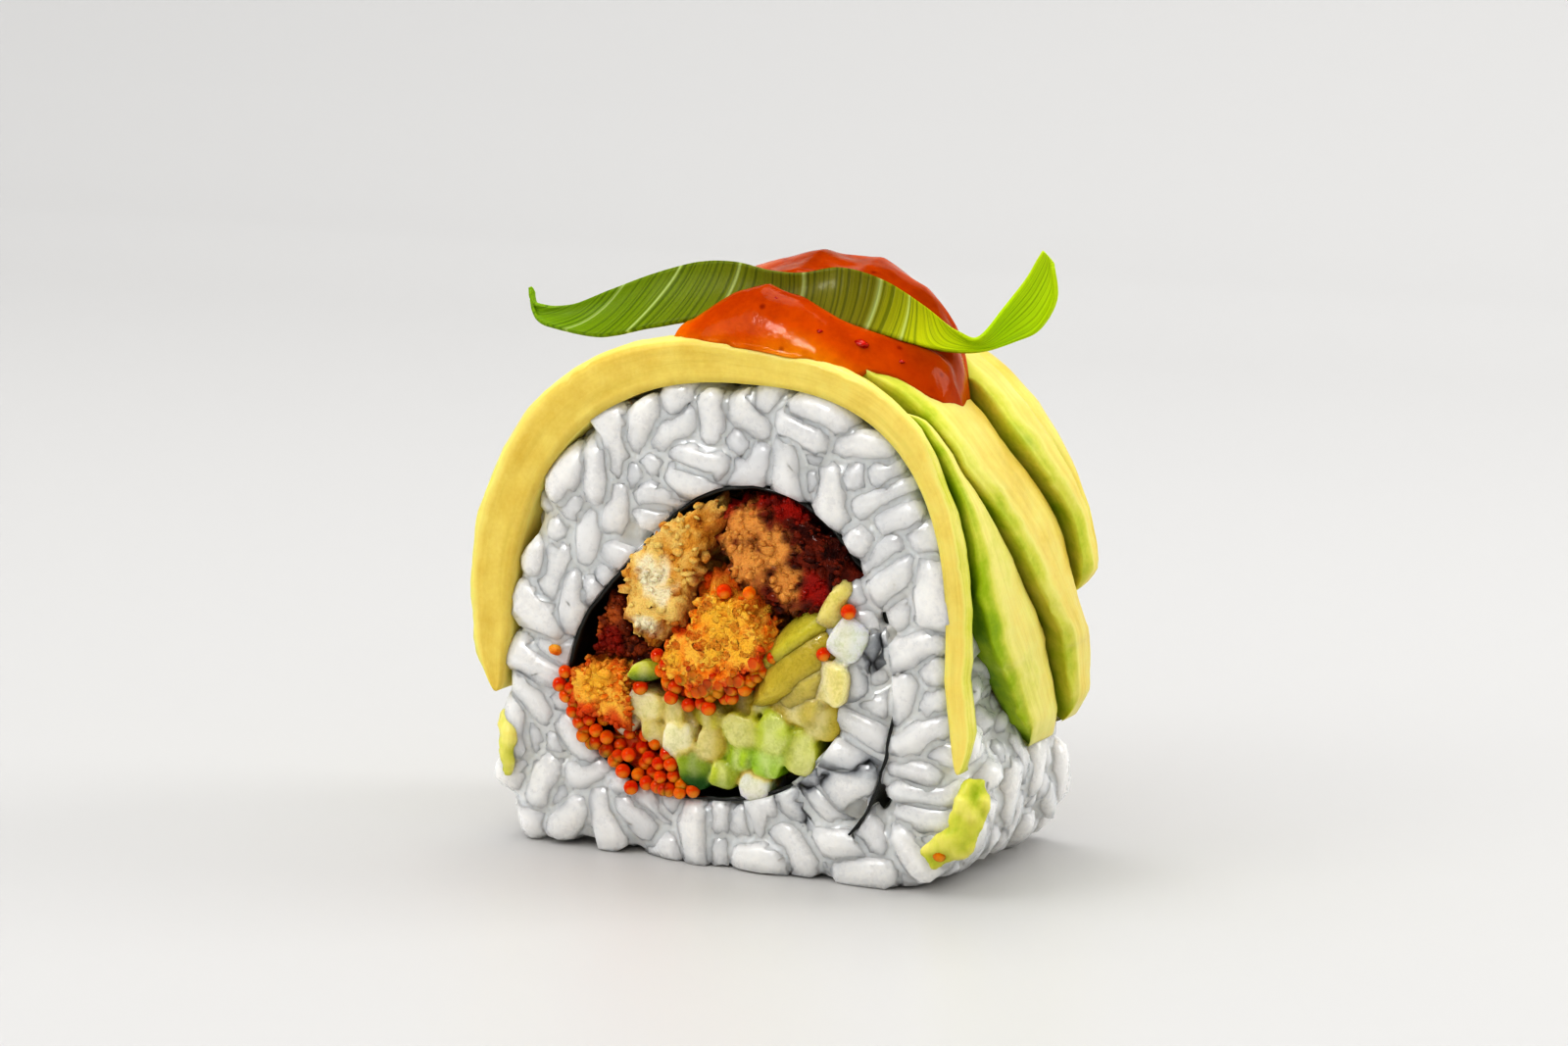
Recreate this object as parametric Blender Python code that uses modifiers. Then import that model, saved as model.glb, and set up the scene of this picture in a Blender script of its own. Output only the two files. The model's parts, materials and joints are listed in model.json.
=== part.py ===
"""One cut piece of an inside-out sushi roll, standing on its flat rice foot.

The rolled axis runs along Y and the cut face that is shown looks along -Y. X is to the right of
that face and Z is up. The origin is the middle of the foot, on the surface that the piece stands on.
Sticky rice is wrapped round a sheet of seaweed, which winds once and a little more round fried
batter, roe and strips of cucumber. Slices of avocado are fanned over the rice, and a spoonful of
thick sauce and a ribbon of leek leaf lie on top.
"""

import math
import random

import bmesh
import bpy
import numpy as np
from mathutils import Matrix, Vector, noise

MM = 0.001
GAP = 0.3 * MM  # the clear space kept between two neighbouring pieces

# The block of rice
ROLL_DEPTH = 24 * MM
RICE_HALF_WIDTH = 22.2 * MM
RICE_HEIGHT = 44.7 * MM
WAIST_HEIGHT = 20 * MM  # below it the sides flare out to the foot, above it they arch over
FOOT_FLARE = 3.0 * MM
TOP_LEAN = 3.0 * MM  # how far the crown of the arch has sagged to the right
ARCH_POWER = 2.5
FOOT_POWER = 6.0
CORE_INSET = 0.8 * MM  # the bare core lies this far inside the grains that stand out of it

# One cooked grain
GRAIN_LENGTH = 6.2 * MM
GRAIN_WIDTH = 3.1 * MM
GRAIN_THICKNESS = 2.7 * MM
GRAIN_SPACING = 4.25 * MM
GRAIN_SEED = 7

# The seaweed winds clockwise, seen from the front, from its inner end at the right
NORI_CENTRE = (-0.5 * MM, 19.2 * MM)
NORI_RADIUS = 13.8 * MM
NORI_TURN = math.radians(406)
NORI_SPREAD = 6.8 * MM  # how far the outer end has moved away from the inner winding
NORI_SPREAD_POWER = 3.7
NORI_OVAL = 1.4 * MM
NORI_OVAL_ANGLE = math.radians(39)
NORI_CORNER = 0.9 * MM
NORI_CORNER_ANGLE = math.radians(17)
NORI_THICKNESS = 0.35 * MM
NORI_DEPTH = 23.4 * MM

# The avocado slices, laid over the arch
ARCH_STEP = 3.4 * MM
SLICE_LIFT = 0.35 * MM
SEAM_LEAN = 0.45

# The chopped cucumber and the roe
STICK_SIDE = 2.7 * MM
ROE_DIAMETER = 1.5 * MM


def material(name, colour, roughness):
    """A plain finish for one kind of food."""
    made = bpy.data.materials.new(name)
    made.use_nodes = True
    shader = made.node_tree.nodes["Principled BSDF"]
    shader.inputs["Base Color"].default_value = (*colour, 1)
    shader.inputs["Roughness"].default_value = roughness
    shader.inputs["Metallic"].default_value = 0
    return made


def mesh_object(name, mesh, finish, collection):
    """An object for a mesh that is already in place."""
    made = bpy.data.objects.new(name, mesh)
    made.data.materials.clear()
    made.data.materials.append(finish)
    collection.objects.link(made)
    return made


def loft(name, rings, finish, collection):
    """A closed skin over rings that all have the same number of points, with a flat face at each end."""
    build = bmesh.new()
    rows = [[build.verts.new(point) for point in ring] for ring in rings]
    count = len(rows[0])
    for near, far in zip(rows, rows[1:]):
        for i in range(count):
            build.faces.new((near[i], near[(i + 1) % count], far[(i + 1) % count], far[i]))
    build.faces.new(rows[0][::-1])
    build.faces.new(rows[-1])
    bmesh.ops.triangulate(build, faces=build.faces[:])
    bmesh.ops.recalc_face_normals(build, faces=build.faces[:])
    mesh = bpy.data.meshes.new(name)
    build.to_mesh(mesh)
    build.free()
    return mesh_object(name, mesh, finish, collection)


def prism(name, outline, front, back, finish, collection):
    """A flat outline in X and Z, carried along Y from front to back."""
    curve = bpy.data.curves.new(name, "CURVE")
    curve.dimensions = "2D"
    curve.fill_mode = "BOTH"
    curve.extrude = (back - front) / 2
    line = curve.splines.new("POLY")
    line.points.add(len(outline) - 1)
    for point, (x, z) in zip(line.points, outline):
        point.co = (x, z, 0, 1)
    line.use_cyclic_u = True
    guide = bpy.data.objects.new(name + "_outline", curve)
    guide.rotation_euler = (math.pi / 2, 0, 0)
    guide.location = (0, (front + back) / 2, 0)
    bpy.context.scene.collection.objects.link(guide)
    bpy.context.view_layer.update()
    graph = bpy.context.evaluated_depsgraph_get()
    mesh = bpy.data.meshes.new_from_object(guide.evaluated_get(graph))
    mesh.transform(guide.matrix_world)
    bpy.data.objects.remove(guide)
    weld(mesh)
    return mesh_object(name, mesh, finish, collection)


def weld(mesh):
    build = bmesh.new()
    build.from_mesh(mesh)
    bmesh.ops.remove_doubles(build, verts=build.verts[:], dist=0.01 * MM)
    bmesh.ops.triangulate(build, faces=build.faces[:])
    bmesh.ops.recalc_face_normals(build, faces=build.faces[:])
    build.to_mesh(mesh)
    build.free()


def combine(target, other, operation):
    """Joins, cuts or trims the target with another object or with a whole collection, for good."""
    change = target.modifiers.new(operation, "BOOLEAN")
    change.operation = operation
    change.solver = "MANIFOLD"
    if isinstance(other, bpy.types.Collection):
        change.operand_type = "COLLECTION"
        change.collection = other
        spent = list(other.objects)
    else:
        change.object = other
        spent = [other]
    keep_modifiers(target)
    for piece in spent:
        bpy.data.objects.remove(piece)


def keep_modifiers(target):
    bpy.context.view_layer.update()
    graph = bpy.context.evaluated_depsgraph_get()
    mesh = bpy.data.meshes.new_from_object(target.evaluated_get(graph))
    target.modifiers.clear()
    target.data = mesh


def signed_power(value, power):
    return math.copysign(abs(value) ** power, value)


def smooth_step(low, high, value):
    share = min(1.0, max(0.0, (value - low) / (high - low)))
    return share * share * (3 - 2 * share)


class Arch:
    """The outline of the rice, walked from the crown: positive lengths run down the right side."""

    def __init__(self):
        turns = np.linspace(math.pi / 2, math.pi / 2 - 2 * math.pi, 2401)
        self.points = np.array([self.corner(turn) for turn in turns])
        steps = np.linalg.norm(np.diff(self.points, axis=0), axis=1)
        self.lengths = np.concatenate([[0], np.cumsum(steps)])
        self.around = self.lengths[-1]

    @staticmethod
    def corner(turn):
        c, s = math.cos(turn), math.sin(turn)
        above = s >= 0
        power = ARCH_POWER if above else FOOT_POWER
        rise = RICE_HEIGHT - WAIST_HEIGHT if above else WAIST_HEIGHT
        z = WAIST_HEIGHT + rise * signed_power(s, 2 / power)
        half = RICE_HALF_WIDTH + FOOT_FLARE * max(0.0, 1 - z / WAIST_HEIGHT)
        x = half * signed_power(c, 2 / power) + TOP_LEAN * (z / RICE_HEIGHT) ** 3
        return x, z

    def at(self, length, out=0.0):
        """The point at a length from the crown, moved outwards by out, as X and Z."""
        point = self.plain(length)
        ahead = self.plain(length + 0.4 * MM)
        behind = self.plain(length - 0.4 * MM)
        run = (ahead - behind) / np.linalg.norm(ahead - behind)
        return point + out * np.array([-run[1], run[0]])

    def plain(self, length):
        wrapped = length % self.around
        return np.array([np.interp(wrapped, self.lengths, self.points[:, k]) for k in (0, 1)])

    def outline(self, count, inset):
        """The closed outline as points, with inset(z) giving how far inside the rice each lies."""
        found = []
        for i in range(count):
            length = self.around * i / count
            z = self.plain(length)[1]
            x, z = self.at(length, -inset(z))
            found.append((x, max(z, 0.0)))
        return found


ARCH = Arch()


def nori_reach(share):
    """How far the seaweed lies from its centre, for a share of its turn from the inner end."""
    turn = -share * NORI_TURN
    return (
        NORI_RADIUS
        + NORI_SPREAD * share**NORI_SPREAD_POWER
        + NORI_OVAL * math.cos(2 * (turn - NORI_OVAL_ANGLE))
        - NORI_CORNER * math.cos(3 * (turn - NORI_CORNER_ANGLE))
    )


def nori_point(share):
    """A point of the seaweed's middle line, as X and Z."""
    turn = -share * NORI_TURN
    reach = nori_reach(share)
    return NORI_CENTRE[0] + reach * math.cos(turn), NORI_CENTRE[1] + reach * math.sin(turn)


def nori_sheet(name, thickness, depth, finish, collection):
    """The wound sheet: an open surface along the spiral, given its thickness by Solidify."""
    count = 64
    build = bmesh.new()
    front = []
    for i in range(count + 1):
        x, z = nori_point(i / count)
        front.append(build.verts.new((x, -depth / 2, z)))
    edges = [build.edges.new(pair) for pair in zip(front, front[1:])]
    swept = bmesh.ops.extrude_edge_only(build, edges=edges)["geom"]
    moved = [v for v in swept if isinstance(v, bmesh.types.BMVert)]
    bmesh.ops.translate(build, verts=moved, vec=(0, depth, 0))
    mesh = bpy.data.meshes.new(name)
    build.to_mesh(mesh)
    build.free()
    made = mesh_object(name, mesh, finish, collection)
    wall = made.modifiers.new("Thickness", "SOLIDIFY")
    wall.thickness = thickness
    wall.offset = 0
    keep_modifiers(made)
    weld(made.data)
    return made


# The avocado fan. Every table runs over the arch: the length from the crown, then in millimetres the
# Y of a seam or the thickness of a slice.

CUT_FRONT = ((-48, -12.2), (48, -12.2))
CUT_BACK = ((-48, 12.3), (48, 12.3))
SEAM_FIRST = ((-46, -3.5), (-10, -3.5), (3, -7.0), (9, -9.4), (14, -10.3), (48, -10.4))
SEAM_SECOND = ((12, -10.3), (27, -10.3), (30, -10.2), (34, -8.5), (41.7, -2.4), (47, 1.5))
SEAM_THIRD = (
    ((-46, -3.5), (-10, -3.5), (3, -7.0), (9, -9.4), (14, -8.8), (20, -8.0), (25.5, -3.5))
    + ((30.8, 0.7), (35.5, 5.0), (43, 7.7), (48, 8.2))
)
SEAM_FOURTH = (
    ((-46, 4.5), (-10, 4.5), (5, 4.0), (15, 2.8), (18, 2.4), (21, 4.0), (25.8, 7.8))
    + ((31.8, 9.5), (34, 10.4), (37, 12.3), (48, 12.3))
)


class Slice:
    """One slice of the fan, as the tables of its two edges and of its thickness."""

    def __init__(self, left, right, front, back, thickness):
        self.left, self.right = left * MM, right * MM
        self.front, self.back, self.thickness = front, back, thickness

    @staticmethod
    def read(table, length):
        return float(np.interp(length / MM, *zip(*table))) * MM

    def edges(self, length):
        return self.read(self.front, length), self.read(self.back, length)

    def stations(self):
        """Lengths along the slice: the same marks for every slice, and more at its rounded ends."""
        first = math.ceil((self.left + 2 * MM) / ARCH_STEP)
        last = math.floor((self.right - 2 * MM) / ARCH_STEP)
        marks = [i * ARCH_STEP for i in range(first, last + 1)]
        return [self.left, self.left + 1 * MM, *marks, self.right - 1 * MM, self.right]

    def section(self, length, grow):
        """The cross-section at a length, as points in Y and distance from the rice, front to back."""
        end = min(length - self.left, self.right - length)
        tall = self.read(self.thickness, length) * (0.45 + 0.55 * smooth_step(-1 * MM, 3 * MM, end))
        front, back = self.edges(length)
        tuck = 0.14 * (back - front) * (1 - smooth_step(0, 3 * MM, end))
        found = []
        for v, h, side in SECTION:
            y = front + (back - front) * v
            out = tall * h
            if side < 0:
                leans = self.front is not CUT_FRONT
                y += (GAP / 2 - grow if leans else -grow) + tuck * (self.front is not CUT_FRONT)
            if side > 0:
                leans = self.back is not CUT_BACK
                y -= (GAP / 2 - grow if leans else -grow) + tuck
            if side and leans:
                # Both sides of a seam lean forward alike: the slice behind lies over the next one.
                y += SEAM_LEAN * (2 * MM - out)
            found.append((y, out + (grow if out else -grow)))
        return found


# The cross-section: share of the width, share of the thickness, and the edge that the point is on
SECTION = (
    (0.00, 0.00, -1),
    (0.00, 0.55, -1),
    (0.00, 0.88, -1),
    (0.12, 1.00, 0),
    (0.42, 0.99, 0),
    (0.70, 0.90, 0),
    (0.90, 0.72, 0),
    (1.00, 0.48, 1),
    (1.00, 0.00, 1),
)
SLICES = {
    "avocado_front": Slice(
        -46,
        45.6,
        CUT_FRONT,
        SEAM_FIRST,
        ((-46, 2.0), (-41.8, 4.1), (-36, 5.0), (-32, 5.3), (-20.6, 5.3), (-15, 5.0), (-10, 4.6))
        + ((-4, 4.0), (3.5, 3.1), (16, 2.9), (20.8, 2.2), (33, 2.3), (42, 2.3), (46, 1.2)),
    ),
    "avocado_second": Slice(
        13, 46, SEAM_SECOND, SEAM_THIRD, ((13, 2.9), (20, 3.0), (36, 3.4), (46, 2.0))
    ),
    "avocado_third": Slice(
        -43,
        45,
        SEAM_THIRD,
        SEAM_FOURTH,
        ((-43, 2.4), (-30, 4.0), (-10, 4.2), (5, 3.9), (14, 3.4), (26, 3.8), (36, 4.6), (45, 3.2)),
    ),
    "avocado_fourth": Slice(
        -40, 33, SEAM_FOURTH, CUT_BACK, ((-40, 2.4), (-26, 4.2), (0, 4.4), (14, 4.2), (33, 4.9))
    ),
}


def avocado_slice(name, finish, collection, grow=0.0):
    shape = SLICES[name]
    rings = []
    for length in shape.stations():
        ring = []
        for y, out in shape.section(length, grow):
            x, z = ARCH.at(length, SLICE_LIFT + out)
            ring.append((x, y, z))
        rings.append(ring)
    return loft(name + "_cutter" if grow else name, rings, finish, collection)


def covered(length, y, margin):
    """Whether an avocado slice lies over this place on the rice, or within the margin of it."""
    for shape in SLICES.values():
        for along in (-margin, 0, margin):
            for across in (-margin, 0, margin):
                front, back = shape.edges(length + along)
                if shape.left <= length + along <= shape.right and front <= y + across <= back:
                    return True
    return False


def grain(name, place, turn, draw, finish, collection):
    """One grain with few sides, a little uneven in size."""
    size = 0.9 + 0.2 * draw.random()
    mesh = bpy.data.meshes.new(name)
    build = bmesh.new()
    bmesh.ops.create_uvsphere(build, u_segments=6, v_segments=4, radius=0.5)
    lengths = (GRAIN_WIDTH * size, GRAIN_THICKNESS * size, GRAIN_LENGTH * size)
    matrix = Matrix.Translation(place) @ turn.to_4x4() @ Matrix.Diagonal((*lengths, 1))
    bmesh.ops.transform(build, matrix=matrix, verts=build.verts[:])
    build.to_mesh(mesh)
    build.free()
    return mesh_object(name, mesh, finish, collection)


def nearest(points, spot):
    """The distance from a spot to a line of points, and the line's direction there."""
    away = np.linalg.norm(points - spot, axis=1)
    i = int(away.argmin())
    run = points[min(i + 1, len(points) - 1)] - points[max(i - 1, 0)]
    return away[i], math.atan2(run[1], run[0])


def winding_outline(count, inset):
    """The room inside the seaweed's first winding, as a closed line."""
    found = []
    turns = 2 * math.pi / NORI_TURN
    start = nori_reach(0)
    for i in range(count):
        share = i / count * turns
        reach = nori_reach(share)
        # Where the outer winding passes over the inner end, a wedge of rice lies against it.
        reach += (start - reach) * smooth_step(0.9 * turns, turns, share)
        keep = reach - inset
        angle = -share * NORI_TURN
        found.append((NORI_CENTRE[0] + keep * math.cos(angle), NORI_CENTRE[1] + keep * math.sin(angle)))
    return found


def in_winding(x, z):
    """Whether a place lies inside the seaweed's first winding."""
    dx, dz = x - NORI_CENTRE[0], z - NORI_CENTRE[1]
    share = (-math.atan2(dz, dx) % (2 * math.pi)) / NORI_TURN
    edge = nori_point(share)
    return math.hypot(dx, dz) < math.hypot(edge[0] - NORI_CENTRE[0], edge[1] - NORI_CENTRE[1])


def face_grains(side, draw, finish, collection):
    """Grains laid over one cut face of the rice, along the edges where they lie close to one."""
    rim = np.array(ARCH.outline(400, lambda z: 0.0))
    sheet = np.array([nori_point(i / 400) for i in range(401)])
    placed = []
    for _ in range(6000):
        spot = np.array([draw.uniform(rim[:, 0].min(), rim[:, 0].max()), draw.uniform(0, RICE_HEIGHT)])
        if placed and np.linalg.norm(np.array(placed) - spot, axis=1).min() < GRAIN_SPACING:
            continue
        to_rim, rim_angle = nearest(rim, spot)
        to_sheet, sheet_angle = nearest(sheet, spot)
        margin = 2.15 * MM if spot[1] > 10 * MM else 1.75 * MM
        if to_rim < margin or outside_arch(rim, spot):
            continue
        if to_sheet < 2.0 * MM or in_winding(*spot):
            continue
        placed.append(spot)
        if min(to_rim, to_sheet) < 3.4 * MM:
            angle = (rim_angle if to_rim < to_sheet else sheet_angle) + draw.uniform(-0.3, 0.3)
        else:
            angle = draw.uniform(0, math.pi)
        turn = Matrix.Rotation(-angle, 3, "Y") @ Matrix.Rotation(math.pi / 2, 3, "Y")
        turn = turn @ Matrix.Rotation(draw.uniform(-0.25, 0.25), 3, "X")
        place = Vector((spot[0], side * (ROLL_DEPTH / 2 - 1.1 * MM), spot[1]))
        grain(f"face_grain_{side}_{len(placed)}", place, turn, draw, finish, collection)


def outside_arch(rim, spot):
    """Whether a spot lies outside the rice's closed outline."""
    crossings = 0
    for (x0, z0), (x1, z1) in zip(rim, np.roll(rim, -1, axis=0)):
        if (z0 > spot[1]) != (z1 > spot[1]):
            if spot[0] < x0 + (spot[1] - z0) * (x1 - x0) / (z1 - z0):
                crossings += 1
    return crossings % 2 == 0


def side_grains(draw, finish, collection):
    """Grains on the flanks of the block, where no avocado lies over them."""
    placed = []
    low, high = 30 * MM, 58 * MM
    for _ in range(5000):
        length = draw.choice((-1, 1)) * draw.uniform(low, high)
        y = draw.uniform(-9.6 * MM, 9.6 * MM)
        x, z = ARCH.at(length)
        if z < 1.7 * MM or covered(length, y, 3.3 * MM):
            continue
        spot = np.array([length, y])
        if placed and np.linalg.norm(np.array(placed) - spot, axis=1).min() < GRAIN_SPACING:
            continue
        placed.append(spot)
        x, z = ARCH.at(length, -0.75 * MM)
        out = ARCH.at(length, 1 * MM) - ARCH.at(length)
        facing = Vector((out[0], 0, out[1])).to_track_quat("Y", "Z").to_matrix()
        spin = draw.uniform(-0.5, 0.5) + (math.pi / 2 if draw.random() < 0.6 else 0)
        if z < 4 * MM:
            spin = math.pi / 2 + draw.uniform(-0.2, 0.2)
        turn = facing @ Matrix.Rotation(spin, 3, "Y")
        grain(f"side_grain_{len(placed)}", Vector((x, y, z)), turn, draw, finish, collection)


def rice(finish, parts, helpers):
    """The block of rice: a core with grains standing out of it, hollowed for the winding."""
    draw = random.Random(GRAIN_SEED)

    def inset(z):
        above_foot = smooth_step(0.5 * MM, 2.5 * MM, z)
        return CORE_INSET * above_foot * smooth_step(14 * MM, 9 * MM, z)

    half = ROLL_DEPTH / 2 - CORE_INSET
    block = prism("rice", ARCH.outline(72, inset), -half, half, finish, parts)
    face_grains(-1, draw, finish, helpers)
    face_grains(1, draw, finish, helpers)
    side_grains(draw, finish, helpers)
    combine(block, helpers, "UNION")
    room = ROLL_DEPTH
    winding = prism("winding", winding_outline(56, 0), -room, room, finish, helpers)
    combine(block, winding, "DIFFERENCE")
    slot = nori_sheet("slot", NORI_THICKNESS + 2 * GAP, 2 * room, finish, helpers)
    combine(block, slot, "DIFFERENCE")
    for name in TAILS:
        combine(block, avocado_tail(name, finish, helpers, grow=GAP), "DIFFERENCE")
    board = bpy.data.meshes.new("board")
    build = bmesh.new()
    bmesh.ops.create_cube(build, size=4 * ROLL_DEPTH)
    bmesh.ops.translate(build, verts=build.verts[:], vec=(0, 0, -2 * ROLL_DEPTH))
    build.to_mesh(board)
    build.free()
    combine(block, mesh_object("board", board, finish, helpers), "DIFFERENCE")
    drop_scraps(block)
    return block


def drop_scraps(target):
    """Keeps only the largest closed body, where a cut has parted a chip of a grain from the rest."""
    build = bmesh.new()
    build.from_mesh(target.data)
    build.verts.ensure_lookup_table()
    left = set(build.verts)
    bodies = []
    while left:
        start = left.pop()
        body, edge = {start}, [start]
        while edge:
            for link in edge.pop().link_edges:
                for v in link.verts:
                    if v in left:
                        left.discard(v)
                        body.add(v)
                        edge.append(v)
        bodies.append(body)
    largest = max(bodies, key=len)
    loose = [v for body in bodies if body is not largest for v in body]
    bmesh.ops.delete(build, geom=loose, context="VERTS")
    build.to_mesh(target.data)
    build.free()


# The fried pieces: the corners of the cross-section in millimetres, seen from the front, how far the
# piece stands out of the cut face, and a seed for its crags. Each is cut clear of those before it.
BATTER = {
    "batter_golden": (
        ((-2.6, 25.4), (0.2, 27.2), (2.7, 26.5), (5.4, 25.0), (6.9, 22.6), (6.6, 19.9))
        + ((3.8, 17.0), (0.0, 15.3), (-3.6, 15.4), (-6.4, 17.2), (-6.4, 19.4), (-3.6, 21.8)),
        1.6,
        23,
    ),
    "batter_pale": (
        ((-9.8, 20.9), (-11.0, 25.0), (-9.6, 29.0), (-6.2, 32.6), (-2.4, 34.8), (-0.3, 35.2))
        + ((-0.2, 31.6), (-1.0, 28.0), (-2.6, 24.6), (-3.9, 21.8), (-6.6, 19.8)),
        1.2,
        3,
    ),
    "batter_brown": (
        ((-0.3, 35.4), (4.2, 35.9), (9.4, 34.8), (13.2, 32.0), (15.6, 27.6), (15.6, 24.6))
        + ((13.2, 24.0), (10.6, 23.8), (7.8, 23.0), (5.2, 24.6), (2.4, 26.4), (-0.6, 27.6))
        + ((-0.6, 31.0),),
        0.4,
        11,
    ),
    "batter_corner": (
        ((-15.3, 12.9), (-15.6, 15.6), (-14.4, 17.9), (-12.0, 18.4), (-9.0, 18.0), (-8.0, 15.4))
        + ((-9.6, 12.7), (-13.0, 12.1)),
        1.0,
        31,
    ),
    "batter_dark": (
        ((-14.6, 18.4), (-14.2, 21.8), (-12.4, 25.2), (-10.0, 25.4), (-9.0, 21.0), (-6.4, 19.6))
        + ((-5.9, 17.2), (-8.0, 16.6), (-9.6, 17.6), (-12.0, 18.2)),
        -0.9,
        43,
    ),
}
BATTER_STATIONS = (0.0, 0.035, 0.12, 0.37, 0.63, 0.88, 0.965, 1.0)


def rounded(corners, count):
    """A smooth closed line through the corners, as evenly counted points."""
    corners = np.array(corners)
    found = []
    for i in range(count):
        place = i / count * len(corners)
        k = int(place)
        t = place - k
        p0, p1, p2, p3 = (corners[(k + j) % len(corners)] for j in (-1, 0, 1, 2))
        found.append(
            0.5
            * (
                2 * p1
                + (p2 - p0) * t
                + (2 * p0 - 5 * p1 + 4 * p2 - p3) * t**2
                + (3 * p1 - p0 - 3 * p2 + p3) * t**3
            )
        )
    return np.array(found)


def fried_piece(name, finish, collection, grow=0.0):
    """A craggy piece of fried batter that runs through the roll and stands out at both faces."""
    corners, stand_out, seed = BATTER[name]
    outline = rounded(corners, 15) * MM
    middle = outline.mean(axis=0)
    front = -ROLL_DEPTH / 2 - stand_out * MM
    back = ROLL_DEPTH / 2 + 0.5 * MM
    rings = []
    for share in BATTER_STATIONS:
        end = min(share, 1 - share)
        tuck = 1 - 0.3 * (1 - smooth_step(0, 0.12, end)) ** 2
        y = front + (back - front) * share
        ring = []
        for x, z in outline:
            crag = noise.noise(Vector((x, y, z)) / (3.2 * MM) + Vector((seed, 0, 0)))
            away = np.array([x, z]) - middle
            reach = np.linalg.norm(away)
            px, pz = middle + away * (tuck * (1 - 0.08 * abs(crag)) + grow / reach)
            bulge = 0.5 * MM * crag if 0 < share < 1 else math.copysign(grow, share - 0.5)
            ring.append((px, y + bulge, pz))
        rings.append(ring)
    return loft(name + "_cutter" if grow else name, rings, finish, collection)


def fried_pieces(finishes, parts, helpers):
    """All the fried pieces, each fitted against the ones before it and inside the seaweed."""
    for i, name in enumerate(BATTER):
        piece = fried_piece(name, finishes[i], parts)
        clear_of_batter(piece, list(BATTER)[:i], finishes[i], helpers)
        clear_of_nori(piece, finishes[i], helpers)
        drop_scraps(piece)


def clear_of_batter(target, names, finish, helpers):
    for name in names:
        combine(target, fried_piece(name, finish, helpers, grow=1.4 * GAP), "DIFFERENCE")


# Where the strips of cucumber lie, seen from the front, as corners in millimetres
CUCUMBER_BED = (
    ((-9.2, 15.4), (-6.6, 16.4), (-3.4, 15.6), (0.2, 15.2), (4.0, 16.6), (6.8, 19.2), (7.8, 22.4))
    + ((11.4, 23.4), (14.6, 24.4), (14.0, 20.4), (12.0, 14.8), (8.8, 10.4), (4.8, 7.6))
    + ((0.8, 6.6), (-2.2, 7.6), (-4.4, 9.8), (-7.4, 11.9))
)


def within(corners, x, z):
    hit = False
    for (x0, z0), (x1, z1) in zip(corners, corners[1:] + corners[:1]):
        if (z0 > z) != (z1 > z) and x < x0 + (z - z0) * (x1 - x0) / (z1 - z0):
            hit = not hit
    return hit


def cucumber(finish, parts, helpers):
    """Strips of cucumber laid along the roll, their cut ends uneven at both faces."""
    draw = random.Random(5)
    half = ROLL_DEPTH / 2
    shrunk = rounded(CUCUMBER_BED, 14)
    middle = shrunk.mean(axis=0)
    core = (middle + (shrunk - middle) * 0.8) * MM
    bundle = prism("cucumber", core, -half + 1.5 * MM, half - 1.5 * MM, finish, parts)
    pitch = STICK_SIDE * 1.04
    for row in range(-2, 12):
        for column in range(-6, 9):
            x = (column + (row % 2) / 2) * pitch
            z = 8.6 * MM + row * pitch * 0.92
            if not within(CUCUMBER_BED, x / MM, z / MM):
                continue
            mesh = bpy.data.meshes.new("strip")
            build = bmesh.new()
            bmesh.ops.create_cube(build, size=1)
            side = STICK_SIDE * draw.uniform(0.85, 1.08)
            long = 2 * half + draw.uniform(-1.2, 0.9) * MM
            place = Vector((x, draw.uniform(-0.6, 0.3) * MM, z))
            turn = Matrix.Rotation(draw.uniform(-0.5, 0.5), 4, "Y")
            matrix = Matrix.Translation(place) @ turn @ Matrix.Diagonal((side, long, side, 1))
            bmesh.ops.transform(build, matrix=matrix, verts=build.verts[:])
            build.to_mesh(mesh)
            build.free()
            mesh_object(f"strip_{row}_{column}", mesh, finish, helpers)
    combine(bundle, helpers, "UNION")
    fit_bed(bundle, helpers, finish)
    return bundle


def fit_bed(bundle, helpers, finish):
    """Trims the bundle to its bed, so that it stays clear of what lies round it."""
    middle = np.array(CUCUMBER_BED).mean(axis=0)
    bed = rounded(CUCUMBER_BED, 22)
    reach = np.linalg.norm(bed - middle, axis=1, keepdims=True)
    grown = (middle + (bed - middle) * (1 + 0.75 / reach)) * MM
    limit = prism("bed", grown, -ROLL_DEPTH, ROLL_DEPTH, finish, helpers)
    combine(bundle, limit, "INTERSECT")
    clear_of_nori(bundle, finish, helpers)
    clear_of_batter(bundle, BATTER, finish, helpers)
    drop_scraps(bundle)


def clear_of_nori(target, finish, helpers):
    """Trims a piece of the filling to the room inside the seaweed."""
    inset = NORI_THICKNESS / 2 + 1.3 * GAP
    room = prism("room", winding_outline(40, inset), -ROLL_DEPTH, ROLL_DEPTH, finish, helpers)
    combine(target, room, "INTERSECT")


# Where the roe lies below the corner piece, seen from the front, in millimetres
ROE_BED = (
    ((-14.6, 11.8), (-11.6, 12.1), (-8.4, 12.3), (-6.4, 10.2), (-4.2, 7.8), (-4.2, 6.6))
    + ((-7.6, 6.9), (-11.0, 7.8), (-14.0, 9.8))
)


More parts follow.
